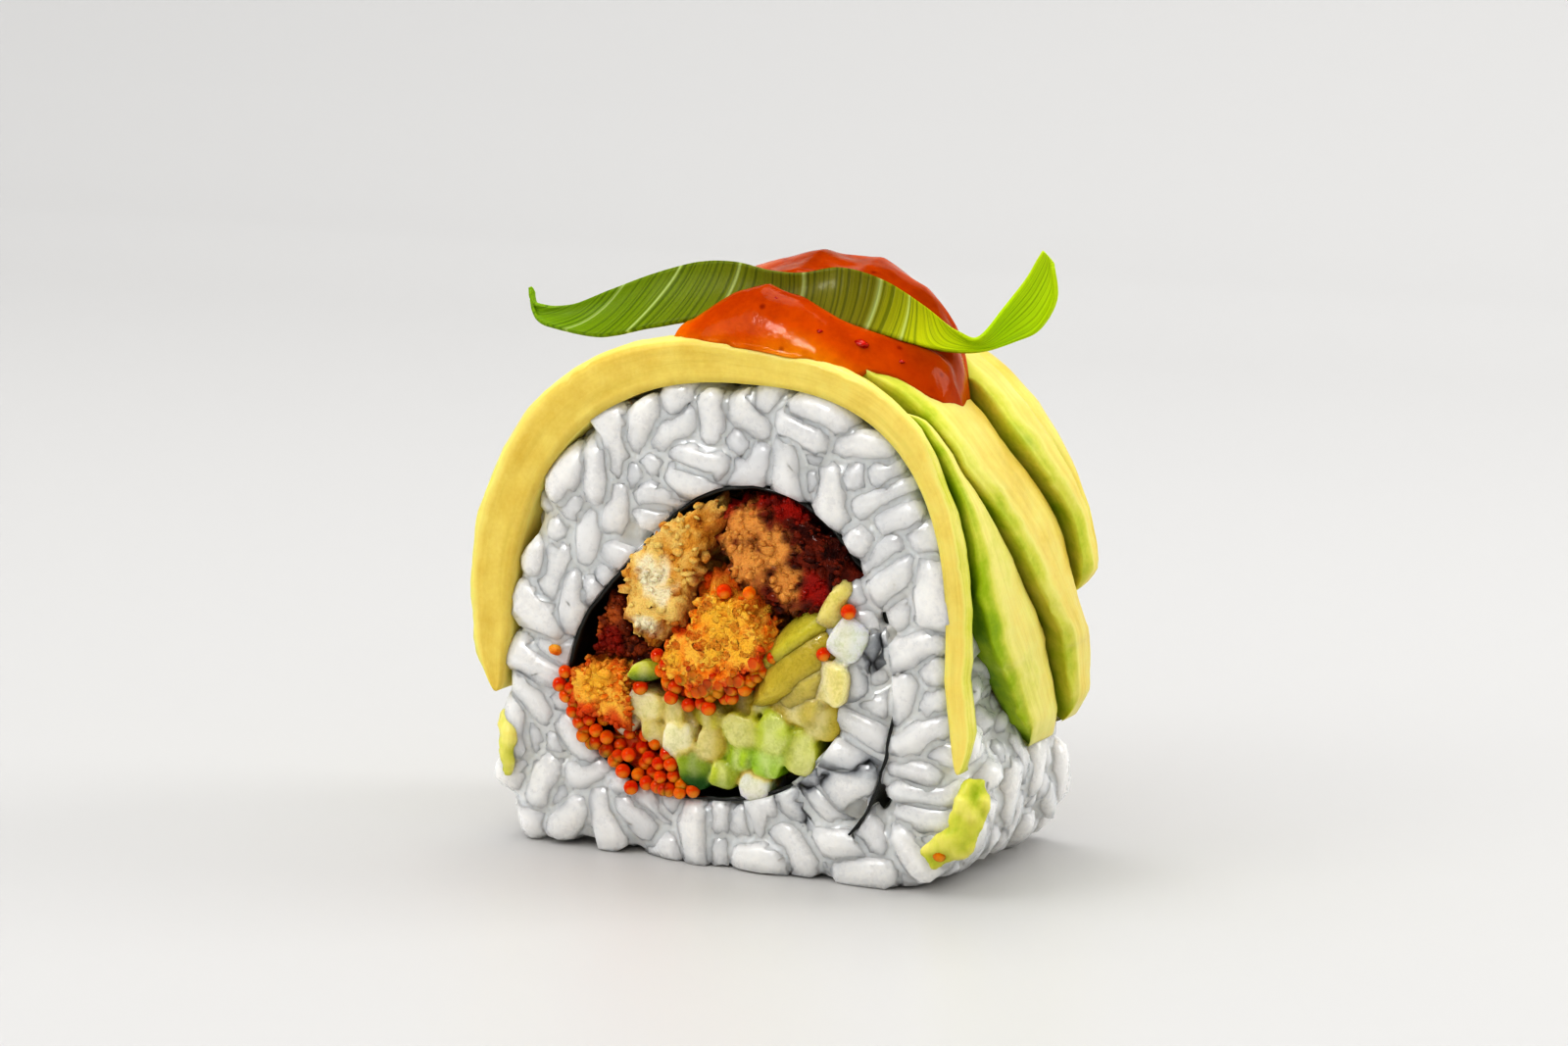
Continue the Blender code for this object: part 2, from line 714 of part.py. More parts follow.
def roe(finish, parts, helpers):
    """A heap of roe along the bottom of the winding, with the eggs that show fused on."""
    draw = random.Random(19)
    half = ROLL_DEPTH / 2
    outline = rounded(ROE_BED, 14)
    middle = outline.mean(axis=0)
    core = (middle + (outline - middle) * 0.72) * MM
    heap = prism("roe", core, -half + 0.2 * MM, half - 0.2 * MM, finish, parts)
    placed = []
    for _ in range(3000):
        x, z = draw.uniform(-15, -3) * MM, draw.uniform(7, 13) * MM
        side = draw.choice((-1, 1))
        spot = Vector((x, side * (half - 0.35 * MM), z))
        inner = middle * MM + (np.array([x, z]) - middle * MM) * 1.12
        if not within(ROE_BED, inner[0] / MM, inner[1] / MM):
            continue
        if any((spot - other).length < 1.34 * MM for other in placed):
            continue
        placed.append(spot)
        mesh = bpy.data.meshes.new("egg")
        build = bmesh.new()
        bmesh.ops.create_uvsphere(build, u_segments=6, v_segments=4, radius=ROE_DIAMETER / 2)
        bmesh.ops.translate(build, verts=build.verts[:], vec=spot)
        build.to_mesh(mesh)
        build.free()
        mesh_object(f"egg_{len(placed)}", mesh, finish, helpers)
    combine(heap, helpers, "UNION")
    clear_of_nori(heap, finish, helpers)
    clear_of_batter(heap, ("batter_corner",), finish, helpers)
    drop_scraps(heap)
    return heap


# Two squeezed-out ends of avocado on the front edges of the rice: a path in millimetres, the
# half width and the half thickness
TAILS = {
    "avocado_tip": (((25.2, -11.0, 10.9), (25.5, -11.7, 8.8), (24.6, -12.4, 6.0), (21.6, -12.9, 3.6)), 1.5, 0.8),
    "avocado_smear": (((-23.0, -11.2, 12.0), (-22.6, -12.2, 9.2), (-22.9, -11.9, 6.4)), 1.1, 0.6),
}


def avocado_tail(name, finish, collection, grow=0.0):
    """A flattened squeeze of avocado along a short path, thinning out at both ends."""
    path, half_width, half_thickness = TAILS[name]
    path = [Vector(point) * MM for point in path]
    rings = []
    count = 4 * (len(path) - 1)
    for i in range(count + 1):
        share = i / count
        place = share * (len(path) - 1)
        k = min(int(place), len(path) - 2)
        point = path[k].lerp(path[k + 1], place - k)
        run = (path[k + 1] - path[k]).normalized()
        outward = Vector((math.copysign(0.5, point.x), -0.86, 0))
        across = run.cross(outward).normalized()
        outward = across.cross(run).normalized()
        swell = 0.35 + 0.65 * math.sin(math.pi * (0.08 + 0.84 * share)) ** 0.7
        ring = []
        for j in range(8):
            turn = 2 * math.pi * j / 8
            side = (half_width * MM * swell + grow) * math.cos(turn)
            lift = (half_thickness * MM * swell + grow) * math.sin(turn)
            ring.append(point + across * side + outward * lift)
        rings.append(ring)
    if grow:
        rings[0] = [v - (path[1] - path[0]).normalized() * grow for v in rings[0]]
        rings[-1] = [v + (path[-1] - path[-2]).normalized() * grow for v in rings[-1]]
    return loft(name if not grow else name + "_cutter", rings, finish, collection)


# The leek ribbon, from its left tip to its right tip: the upper and the lower edge, in millimetres
LEAF_EDGES = (
    ((-23.6, -5.6, 51.4), (-23.3, -5.9, 50.3)),
    ((-22.6, -6.2, 50.0), (-21.9, -6.8, 48.5)),
    ((-19.3, -5.6, 50.0), (-18.9, -7.2, 47.9)),
    ((-15.2, -5.0, 51.6), (-14.8, -7.4, 47.6)),
    ((-10.8, -4.6, 53.3), (-10.4, -7.4, 48.6)),
    ((-6.4, -4.3, 54.6), (-5.8, -7.0, 49.6)),
    ((-2.6, -4.4, 54.9), (-1.8, -6.8, 50.4)),
    ((1.4, -5.0, 54.4), (2.2, -6.7, 50.7)),
    ((4.8, -5.2, 54.4), (5.4, -6.9, 50.8)),
    ((8.4, -4.4, 55.0), (8.9, -7.2, 50.5)),
    ((12.2, -3.4, 54.0), (12.2, -6.4, 49.8)),
    ((15.8, -2.4, 51.8), (15.6, -4.9, 48.7)),
    ((18.4, -1.4, 49.6), (18.3, -2.8, 47.9)),
    ((20.2, -0.4, 48.8), (20.4, 0.4, 47.6)),
    ((22.2, 0.5, 51.4), (22.8, 2.2, 48.4)),
    ((24.2, 0.8, 54.0), (25.0, 2.4, 49.6)),
    ((25.6, 0.6, 56.2), (26.8, 1.8, 52.4)),
    ((26.2, 0.4, 57.0), (26.9, 1.0, 55.4)),
)
LEAF_THICKNESS = 0.4 * MM


def leek_leaf(name, finish, collection, grow=0.0):
    """A ribbon cut across a leek leaf, waved and twisted: an open surface with Solidify."""
    build = bmesh.new()
    rows = []
    for upper, lower in LEAF_EDGES:
        upper, lower = Vector(upper) * MM, Vector(lower) * MM
        rise = (upper - lower).normalized() * grow * 1.3
        upper, lower = upper + rise, lower - rise
        hollow = Vector((0, -0.35 * MM, 0))
        rows.append(
            [
                build.verts.new(upper),
                build.verts.new(upper.lerp(lower, 1 / 3) + hollow),
                build.verts.new(upper.lerp(lower, 2 / 3) + hollow),
                build.verts.new(lower),
            ]
        )
    for near, far in zip(rows, rows[1:]):
        for i in range(3):
            build.faces.new((near[i], near[i + 1], far[i + 1], far[i]))
    bmesh.ops.triangulate(build, faces=build.faces[:])
    bmesh.ops.recalc_face_normals(build, faces=build.faces[:])
    mesh = bpy.data.meshes.new(name)
    build.to_mesh(mesh)
    build.free()
    made = mesh_object(name, mesh, finish, collection)
    wall = made.modifiers.new("Thickness", "SOLIDIFY")
    wall.thickness = LEAF_THICKNESS + 2 * grow
    wall.offset = 0
    wall.use_even_offset = True
    keep_modifiers(made)
    weld(made.data)
    return made


# The sauce lies in two lobes with the leek ribbon between them. For each: its middle, its reach in
# 12 directions and the height of its top along X, all in millimetres
SAUCE_LOBES = {
    "front": (
        (6.0, -8.2),
        (15.4, 10.6, 5.8, 4.9, 5.4, 8.2, 12.4, 7.6, 4.1, 3.5, 3.7, 6.4),
        ((-8, 48.6), (-5.4, 49.6), (-0.4, 52.7), (3.1, 53.7), (6.6, 52.9), (11.5, 50.2), (22, 46.4)),
    ),
    "back": (
        (6.5, 0.6),
        (12.6, 11.0, 8.5, 7.5, 8.2, 10.0, 12.0, 10.4, 8.0, 7.0, 8.0, 11.4),
        ((-6, 52.2), (-3.3, 54.6), (3.3, 55.5), (8.4, 54.9), (13.3, 52.8), (16.8, 50.4), (22, 46.4)),
    ),
}


def sauce_lobe(name, finish, collection):
    """One lobe: a low dome whose edge follows the slices under it."""
    (x0, y0), reaches, tops = SAUCE_LOBES[name]
    mesh = bpy.data.meshes.new("sauce")
    build = bmesh.new()
    bmesh.ops.create_uvsphere(build, u_segments=18, v_segments=9, radius=1)
    for v in build.verts:
        place = math.atan2(v.co.y, v.co.x) % (2 * math.pi) / (2 * math.pi) * 12
        share = smooth_step(0, 1, place - int(place))
        reach = reaches[int(place) % 12] * (1 - share) + reaches[(int(place) + 1) % 12] * share
        side = math.hypot(v.co.x, v.co.y)
        x, y = x0 + reach * v.co.x, y0 + reach * v.co.y
        floor = sauce_floor(x * MM) / MM
        if v.co.z > 0:
            z = floor + max(0.8, np.interp(x, *zip(*tops)) - floor) * (1 - side**4)
        else:
            z = floor + 2.5 * v.co.z
        v.co = (x * MM, y * MM, z * MM)
    bmesh.ops.triangulate(build, faces=build.faces[:])
    build.to_mesh(mesh)
    build.free()
    return mesh_object(name, mesh, finish, collection)


def sauce(finish, parts, helpers):
    """A spoonful of thick sauce, moulded to the slices and parted by the ribbon."""
    blob = sauce_lobe("front", finish, parts)
    blob.name = "sauce"
    combine(blob, sauce_lobe("back", finish, helpers), "UNION")
    for name in SLICES:
        combine(blob, avocado_slice(name, finish, helpers, grow=GAP), "DIFFERENCE")
    under = prism("under", ARCH.outline(72, lambda z: -SLICE_LIFT), -ROLL_DEPTH, ROLL_DEPTH, finish, helpers)
    combine(blob, under, "DIFFERENCE")
    combine(blob, leek_leaf("leaf_slot", finish, helpers, grow=GAP), "DIFFERENCE")
    drop_scraps(blob)
    return blob


def sauce_floor(x):
    """The height of the avocado's top surface at this X, a little below its real one."""
    heights = [ARCH.at(length, 3.4 * MM) for length in np.linspace(-30 * MM, 34 * MM, 65)]
    xs = [point[0] for point in heights]
    return float(np.interp(x, xs, [point[1] for point in heights]))


def clear_scene():
    for thing in list(bpy.data.objects):
        bpy.data.objects.remove(thing)


def main():
    clear_scene()
    parts = bpy.data.collections.new("uramaki_roll")
    helpers = bpy.data.collections.new("joining")
    bpy.context.scene.collection.children.link(parts)
    bpy.context.scene.collection.children.link(helpers)

    white = material("rice", (0.83, 0.83, 0.80), 0.35)
    black = material("nori", (0.02, 0.025, 0.02), 0.4)
    green = material("avocado", (0.66, 0.68, 0.18), 0.45)
    gold = material("batter", (0.75, 0.42, 0.12), 0.5)
    brown = material("batter_brown", (0.36, 0.14, 0.05), 0.4)
    pale_green = material("cucumber", (0.62, 0.66, 0.33), 0.25)
    orange = material("roe", (0.85, 0.22, 0.03), 0.15)
    red_orange = material("sauce", (0.80, 0.21, 0.02), 0.12)
    leek = material("leek", (0.24, 0.45, 0.05), 0.4)

    rice(white, parts, helpers)
    nori_sheet("nori", NORI_THICKNESS, NORI_DEPTH, black, parts)
    fried_pieces((gold, gold, brown, gold, brown), parts, helpers)
    cucumber(pale_green, parts, helpers)
    roe(orange, parts, helpers)
    for name in SLICES:
        avocado_slice(name, green, parts)
    for name in TAILS:
        avocado_tail(name, green, parts)
    sauce(red_orange, parts, helpers)
    leek_leaf("leek_leaf", leek, parts)
    for piece in parts.objects:
        piece.data.shade_smooth()
        piece.data.set_sharp_from_angle(angle=math.radians(35))


main()
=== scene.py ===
"""Looks of the uramaki roll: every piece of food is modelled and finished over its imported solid.

The rolled axis runs along Y, the shown cut face looks along -Y, X is to its right and Z is up. Sizes are
in metres, with MM for a millimetre.
"""

import math
import random

import bmesh
import bpy
import numpy as np
from mathutils import Matrix, Vector, kdtree, noise
from mathutils.bvhtree import BVHTree
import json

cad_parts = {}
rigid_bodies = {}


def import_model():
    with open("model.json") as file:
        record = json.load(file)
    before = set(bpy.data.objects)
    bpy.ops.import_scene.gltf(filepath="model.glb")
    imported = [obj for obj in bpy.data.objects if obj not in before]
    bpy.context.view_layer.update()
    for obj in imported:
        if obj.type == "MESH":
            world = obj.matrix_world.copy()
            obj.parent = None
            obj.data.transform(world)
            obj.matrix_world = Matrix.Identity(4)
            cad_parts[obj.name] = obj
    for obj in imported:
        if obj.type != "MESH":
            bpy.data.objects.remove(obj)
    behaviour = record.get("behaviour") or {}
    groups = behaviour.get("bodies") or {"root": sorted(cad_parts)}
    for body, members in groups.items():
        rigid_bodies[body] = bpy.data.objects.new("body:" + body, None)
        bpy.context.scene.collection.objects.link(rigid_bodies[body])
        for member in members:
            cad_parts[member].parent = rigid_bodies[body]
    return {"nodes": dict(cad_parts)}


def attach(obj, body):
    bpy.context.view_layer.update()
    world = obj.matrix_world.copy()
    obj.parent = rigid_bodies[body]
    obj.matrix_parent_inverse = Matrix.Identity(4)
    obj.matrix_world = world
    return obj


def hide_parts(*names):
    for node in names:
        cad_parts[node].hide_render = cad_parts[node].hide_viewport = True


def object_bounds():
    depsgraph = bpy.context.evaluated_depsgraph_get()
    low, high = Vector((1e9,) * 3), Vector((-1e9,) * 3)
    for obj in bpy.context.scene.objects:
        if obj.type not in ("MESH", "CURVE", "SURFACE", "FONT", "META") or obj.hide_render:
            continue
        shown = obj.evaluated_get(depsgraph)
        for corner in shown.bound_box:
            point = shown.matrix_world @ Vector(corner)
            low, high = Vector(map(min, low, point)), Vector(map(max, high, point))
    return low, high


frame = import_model()
cad_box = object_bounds()
bpy.ops.object.select_all(action="DESELECT")
MM = 0.001

# The camera
# A short telephoto lens a little above the table, turned to the right of the cut face.
CAMERA_AZIMUTH = math.radians(28)
CAMERA_ELEVATION = math.radians(10.5)
CAMERA_DISTANCE = 404 * MM
CAMERA_LENS = 100
LOOK_AT = Vector((0.3, 0, 30.2)) * MM

to_camera = Vector(
    (
        math.sin(CAMERA_AZIMUTH) * math.cos(CAMERA_ELEVATION),
        -math.cos(CAMERA_AZIMUTH) * math.cos(CAMERA_ELEVATION),
        math.sin(CAMERA_ELEVATION),
    )
)
bpy.ops.object.camera_add(location=LOOK_AT + to_camera * CAMERA_DISTANCE)
camera = bpy.context.object
camera.name = "camera"
camera.rotation_euler = to_camera.to_track_quat("Z", "Y").to_euler()
camera.data.lens = CAMERA_LENS
camera.data.sensor_width = 36
camera.data.clip_start = 0.01
camera.data.dof.use_dof = False
bpy.context.scene.camera = camera
bpy.context.scene.view_settings.view_transform = "Standard"
bpy.context.scene.view_settings.look = "High Contrast"

# The studio
# A white sweep under soft light: a broad lamp above, one behind at the right and a fill at the left.
FLOOR_SIZE = 3.0


def soft_lamp(name, place, size, power, colour=(1, 1, 1)):
    """A square area lamp that faces the middle of the food."""
    bpy.ops.object.light_add(type="AREA", location=place)
    lamp = bpy.context.object
    lamp.name = name
    lamp.data.shape = "SQUARE"
    lamp.data.size = size
    lamp.data.energy = power
    lamp.data.color = colour
    lamp.rotation_euler = (lamp.location - LOOK_AT).to_track_quat("Z", "Y").to_euler()
    return lamp


soft_lamp("top_lamp", (-0.10, 0.12, 0.60), 0.30, 0.75, (1.0, 0.985, 0.96))
soft_lamp("back_lamp", (0.50, 0.28, 0.34), 0.26, 0.9)
soft_lamp("front_lamp", (-0.42, -0.55, 0.52), 0.34, 0.7, (1.0, 0.99, 0.97))
# This small lamp gives the wet food its glints and lights nothing else.
sparkle = soft_lamp("sparkle_lamp", (-0.16, -0.50, 0.46), 0.13, 1.5)
sparkle.visible_diffuse = False


def broad_light(name, azimuth, elevation, strength, spread):
    """Even soft light from far away, out of a compass direction with 0 to the back and 90 at the right."""
    bpy.ops.object.light_add(type="SUN")
    lamp = bpy.context.object
    lamp.name = name
    lamp.data.energy = strength
    lamp.data.angle = math.radians(spread)
    a, e = math.radians(azimuth), math.radians(elevation)
    towards = Vector((math.sin(a) * math.cos(e), math.cos(a) * math.cos(e), math.sin(e)))
    lamp.rotation_euler = towards.to_track_quat("Z", "Y").to_euler()
    # The highlights come from the lamps alone.
    lamp.visible_glossy = False


broad_light("ceiling_light", -25, 66, 0.70, 120)
broad_light("window_light", -150, 26, 0.72, 100)

world = bpy.data.worlds.new("studio")
bpy.context.scene.world = world
world.use_nodes = True
world.node_tree.nodes["Background"].inputs["Color"].default_value = (0.90, 0.90, 0.91, 1)
world.node_tree.nodes["Background"].inputs["Strength"].default_value = 0.72
world.cycles_visibility.glossy = False

bpy.ops.mesh.primitive_grid_add(x_subdivisions=2, y_subdivisions=40, size=FLOOR_SIZE)
floor = bpy.context.object
floor.name = "floor"
for v in floor.data.vertices:
    # Far behind the food the floor curves up into the backdrop.
    run = max(0.0, v.co.y - 0.35)
    v.co.z = min(1.4, 0.9 * run**1.6)
floor.data.shade_smooth()


def paint(red, green, blue):
    """A colour given in 0 to 255, as the linear values that the shaders take."""
    shares = (red / 255, green / 255, blue / 255)
    return tuple(((v + 0.055) / 1.055) ** 2.4 if v > 10 / 255 else v / 12.92 for v in shares)


def principled(name, roughness, **constants):
    """A finish with its Principled shader, whose even values are set on the shader's own sockets."""
    finish = bpy.data.materials.new(name)
    finish.use_nodes = True
    shader = finish.node_tree.nodes["Principled BSDF"]
    shader.inputs["Roughness"].default_value = roughness
    for key, value in constants.items():
        shader.inputs[key.replace("_", " ").title().replace("Ior", "IOR")].default_value = value
    return finish, finish.node_tree, shader


def add_node(tree, kind, **settings):
    """A node with its properties set, and its unlinked inputs given by name in a dict called values."""
    node = tree.nodes.new(kind)
    for key, value in settings.pop("values", {}).items():
        node.inputs[key].default_value = value
    for key, value in settings.items():
        setattr(node, key, value)
    return node


floor_finish, floor_tree, floor_shader = principled("white_sweep", 0.42, specular_ior_level=0.3)
cloud = add_node(floor_tree, "ShaderNodeTexNoise", values={"Scale": 1.4, "Detail": 2.0})
shades = add_node(floor_tree, "ShaderNodeValToRGB")
shades.color_ramp.elements[0].color = (0.535, 0.532, 0.525, 1)
shades.color_ramp.elements[1].color = (0.55, 0.545, 0.535, 1)
place = add_node(floor_tree, "ShaderNodeTexCoord")
floor_tree.links.new(place.outputs["Object"], cloud.inputs["Vector"])
floor_tree.links.new(cloud.outputs["Fac"], shades.inputs["Fac"])
floor_tree.links.new(shades.outputs["Color"], floor_shader.inputs["Base Color"])
floor.data.materials.append(floor_finish)

# The rice
# Cooked short-grain rice, pressed by hand round the seaweed. It is made as several hundred plump, wet
# grains, settled against each other and against the seaweed, over the pale sticky mass they have become.
ROLL_DEPTH = 24 * MM
RICE_HALF_WIDTH = 22.2 * MM
RICE_HEIGHT = 44.7 * MM
WAIST_HEIGHT = 20 * MM
FOOT_FLARE = 3.0 * MM
TOP_LEAN = 3.0 * MM
ARCH_POWER = 2.5
FOOT_POWER = 6.0
GRAIN_LENGTH = 6.4 * MM
GRAIN_WIDTH = 4.1 * MM
GRAIN_RADIUS = 1.32 * MM
GRAIN_SIZES = (1.04, 1.34)
GRAIN_LEAN = 0.45
GRAIN_SHELL = 4.4 * MM
GRAIN_SPACING = 2.3 * MM
GRAIN_SQUEEZE = 0.82
GRAIN_CREASE = -0.08 * MM
FUSED_VOXEL = 0.4 * MM
KNIFE_DEPTH = 11.7 * MM
KNIFE_PRESS = 0.55
LOWEST_RICE = 0.05 * MM
MASS_INSET = 0.8 * MM
MASS_SINK = 0.03 * MM
GRAIN_TRIES = 26000
SEARCH_HALF_WIDTH = 25.5 * MM
FACE_DRIFT = 0.06 * MM
PUSH_SHARE = 0.35
RIM_TOUCH = 0.98
NORI_TOUCH = 0.62
FACE_TOUCH = 0.95
NORI_REACH = 3.6 * MM
NORI_CLEAR = 0.2 * MM
FLANK_START = 27 * MM
SETTLING_STEPS = 70
PRESSING_ROUNDS = 4


def signed_power(value, power):
    """A power of a value that keeps the value's sign."""
    return math.copysign(abs(value) ** power, value)


def smooth_step(low, high, value):
    """From 0 at low to 1 at high, with a soft start and a soft end."""
    share = np.clip((value - low) / (high - low), 0, 1)
    return share * share * (3 - 2 * share)


def arch_corner(turn):
    """A point of the rice's outline, as X and Z: an arch above the waist and a flared foot below it."""
    c, s = math.cos(turn), math.sin(turn)
    power = ARCH_POWER if s >= 0 else FOOT_POWER
    rise = RICE_HEIGHT - WAIST_HEIGHT if s >= 0 else WAIST_HEIGHT
    z = WAIST_HEIGHT + rise * signed_power(s, 2 / power)
    half = RICE_HALF_WIDTH + FOOT_FLARE * max(0.0, 1 - z / WAIST_HEIGHT)
    return half * signed_power(c, 2 / power) + TOP_LEAN * (z / RICE_HEIGHT) ** 3, z


arch_turns = np.linspace(math.pi / 2, math.pi / 2 - 2 * math.pi, 2401)
arch_points = np.array([arch_corner(turn) for turn in arch_turns])
arch_steps = np.linalg.norm(np.diff(arch_points, axis=0), axis=1)
arch_lengths = np.concatenate([[0], np.cumsum(arch_steps)])


def on_arch(length):
    """Points of the outline for lengths walked from its crown, positive down the right side."""
    wrapped = np.asarray(length) % arch_lengths[-1]
    return np.stack([np.interp(wrapped, arch_lengths, arch_points[:, k]) for k in (0, 1)], axis=-1)


def out_of_arch(length):
    """The directions that point straight out of the rice at those lengths."""
    run = on_arch(np.asarray(length) + 0.4 * MM) - on_arch(np.asarray(length) - 0.4 * MM)
    run /= np.linalg.norm(run, axis=-1, keepdims=True)
    return np.stack([-run[..., 1], run[..., 0]], axis=-1)


# The winding of the seaweed, which the grains have to keep clear of
NORI_CENTRE = np.array((-0.5, 19.2)) * MM
NORI_RADIUS = 13.8 * MM
NORI_TURN = math.radians(406)
NORI_SPREAD = 6.8 * MM
NORI_SPREAD_POWER = 3.7
NORI_OVAL = 1.4 * MM
NORI_OVAL_ANGLE = math.radians(39)
NORI_CORNER = 0.9 * MM
NORI_CORNER_ANGLE = math.radians(17)


def nori_line(count):
    """The seaweed's middle line as X and Z, clockwise from its inner end at the right."""
    share = np.linspace(0, 1, count)
    turn = -share * NORI_TURN
    reach = (
        NORI_RADIUS
        + NORI_SPREAD * share**NORI_SPREAD_POWER
        + NORI_OVAL * np.cos(2 * (turn - NORI_OVAL_ANGLE))
        - NORI_CORNER * np.cos(3 * (turn - NORI_CORNER_ANGLE))
    )
    return NORI_CENTRE + reach[:, None] * np.stack([np.cos(turn), np.sin(turn)], axis=1)


rim_lengths = np.linspace(0, arch_lengths[-1], 420, endpoint=False)
rim_points = on_arch(rim_lengths)
rim_normals = out_of_arch(rim_lengths)
nori_points = nori_line(320)


def to_rim(spots):
    """How far inside the rice's outline the spots lie, and the direction out of it."""
    away = spots[:, None, :] - rim_points[None]
    nearest = np.linalg.norm(away, axis=2).argmin(axis=1)
    normals = rim_normals[nearest]
    depth = -np.einsum("ij,ij->i", spots - rim_points[nearest], normals)
    return depth, normals, rim_lengths[nearest]


def from_nori(spots):
    """How far the spots lie from the seaweed, and the direction away from it."""
    away = spots[:, None, :] - nori_points[None]
    reach = np.linalg.norm(away, axis=2)
    nearest = reach.argmin(axis=1)
    rows = np.arange(len(spots))
    far = reach[rows, nearest]
    return far, away[rows, nearest] / np.maximum(far, 1e-9)[:, None]


def in_winding(spots):
    """Which spots lie inside the first winding, where the filling is."""
    away = spots - NORI_CENTRE
    share = (-np.arctan2(away[:, 1], away[:, 0]) % (2 * math.pi)) / NORI_TURN
    edge = nori_points[np.clip((share * (len(nori_points) - 1)).astype(int), 0, len(nori_points) - 1)]
    inside = np.linalg.norm(away, axis=1) < np.linalg.norm(edge - NORI_CENTRE, axis=1)
    # Against the outer winding lies a wedge of rice that reaches up past the inner end.
    wedge = share > 0.9 * 2 * math.pi / NORI_TURN
    inner = np.linalg.norm(nori_points[0] - NORI_CENTRE)
    fill = smooth_step(0.9 * 2 * math.pi / NORI_TURN, 2 * math.pi / NORI_TURN, share)
    reach = np.linalg.norm(edge - NORI_CENTRE, axis=1) * (1 - fill) + inner * fill
    return np.where(wedge, np.linalg.norm(away, axis=1) < reach, inside)


def between_segments(p0, p1, q0, q1):
    """Shares along two sets of segments at which they come closest to each other."""
    d1, d2, r = p1 - p0, q1 - q0, p0 - q0
    a = np.einsum("ij,ij->i", d1, d1)
    e = np.einsum("ij,ij->i", d2, d2)
    f = np.einsum("ij,ij->i", d2, r)
    c = np.einsum("ij,ij->i", d1, r)
    b = np.einsum("ij,ij->i", d1, d2)
    s = np.clip((b * f - c * e) / np.maximum(a * e - b * b, 1e-18), 0, 1)
    t = np.clip((b * s + f) / e, 0, 1)
    s = np.clip((b * t - c) / a, 0, 1)
    return s, t


def settled_grains(seed):
    """Places and directions of the outer grains, as the two ends of each one's stiff middle line."""
    draw = np.random.default_rng(seed)
    half_line = GRAIN_LENGTH / 2 - GRAIN_RADIUS
    low = np.array((-SEARCH_HALF_WIDTH, -ROLL_DEPTH / 2 + GRAIN_RADIUS, GRAIN_RADIUS))
    high = np.array((SEARCH_HALF_WIDTH, ROLL_DEPTH / 2 - GRAIN_RADIUS, RICE_HEIGHT - GRAIN_RADIUS))
    spots = draw.uniform(low, high, (GRAIN_TRIES, 3))
    depth, _, length = to_rim(spots[:, [0, 2]])
    far, _ = from_nori(spots[:, [0, 2]])
    length = np.where(length > arch_lengths[-1] / 2, length - arch_lengths[-1], length)
    bare_flank = (np.abs(length) > FLANK_START) & (depth < GRAIN_SHELL)
    near_face = np.abs(spots[:, 1]) > ROLL_DEPTH / 2 - GRAIN_SHELL
    kept = (depth > GRAIN_RADIUS) & (far > GRAIN_RADIUS * 0.8) & ~in_winding(spots[:, [0, 2]])
    spots = spots[kept & (bare_flank | near_face)]
    centres = spots[:1]
    for spot in spots[1:]:
        if np.square(centres - spot).sum(axis=1).min() > GRAIN_SPACING**2:
            centres = np.vstack([centres, spot])
    lean = draw.normal(size=centres.shape)
    lean[:, 1] *= GRAIN_LEAN
    lean /= np.linalg.norm(lean, axis=1, keepdims=True)
    ends = np.stack([centres - lean * half_line, centres + lean * half_line], axis=1)
    first, second = np.triu_indices(len(ends), 1)
    face_side = np.sign(centres[:, 1])
    to_face = np.abs(centres[:, 1]) > ROLL_DEPTH / 2 - GRAIN_SHELL
    for step in range(SETTLING_STEPS):
        # The outer grains are drawn to the cut faces and the flanks, and press on those beside them.
        drift = FACE_DRIFT * (1 - step / SETTLING_STEPS)
        ends[to_face, :, 1] += (face_side[to_face] * drift)[:, None]
        middle = ends.mean(axis=1)
        close = np.linalg.norm(middle[first] - middle[second], axis=1) < GRAIN_LENGTH + 0.5 * MM
        i, j = first[close], second[close]
        s, t = between_segments(ends[i, 0], ends[i, 1], ends[j, 0], ends[j, 1])
        at_i = ends[i, 0] + (ends[i, 1] - ends[i, 0]) * s[:, None]
        at_j = ends[j, 0] + (ends[j, 1] - ends[j, 0]) * t[:, None]
        apart = at_i - at_j
        reach = np.linalg.norm(apart, axis=1)
        press = np.maximum(0, 2 * GRAIN_RADIUS * GRAIN_SQUEEZE - reach) * PUSH_SHARE
        push = apart / np.maximum(reach, 1e-9)[:, None] * press[:, None]
        for k, share in ((0, 1 - s), (1, s)):
            np.add.at(ends[:, k], i, push * share[:, None])
        for k, share in ((0, 1 - t), (1, t)):
            np.add.at(ends[:, k], j, -push * share[:, None])
        flat = ends.reshape(-1, 3)
        depth, normals, _ = to_rim(flat[:, [0, 2]])
        flat[:, [0, 2]] -= normals * np.maximum(0, GRAIN_RADIUS * RIM_TOUCH - depth)[:, None]
        far, away = from_nori(flat[:, [0, 2]])
        flat[:, [0, 2]] += away * np.maximum(0, GRAIN_RADIUS * NORI_TOUCH - far)[:, None]
        limit = ROLL_DEPTH / 2 - GRAIN_RADIUS * FACE_TOUCH
        flat[:, 1] = np.clip(flat[:, 1], -limit, limit)
        ends = flat.reshape(-1, 2, 3)
        middle = ends.mean(axis=1, keepdims=True)
        line = ends[:, 1] - ends[:, 0]
        line *= half_line / np.linalg.norm(line, axis=1, keepdims=True)
        ends = np.stack([middle[:, 0] - line, middle[:, 0] + line], axis=1)
    return ends


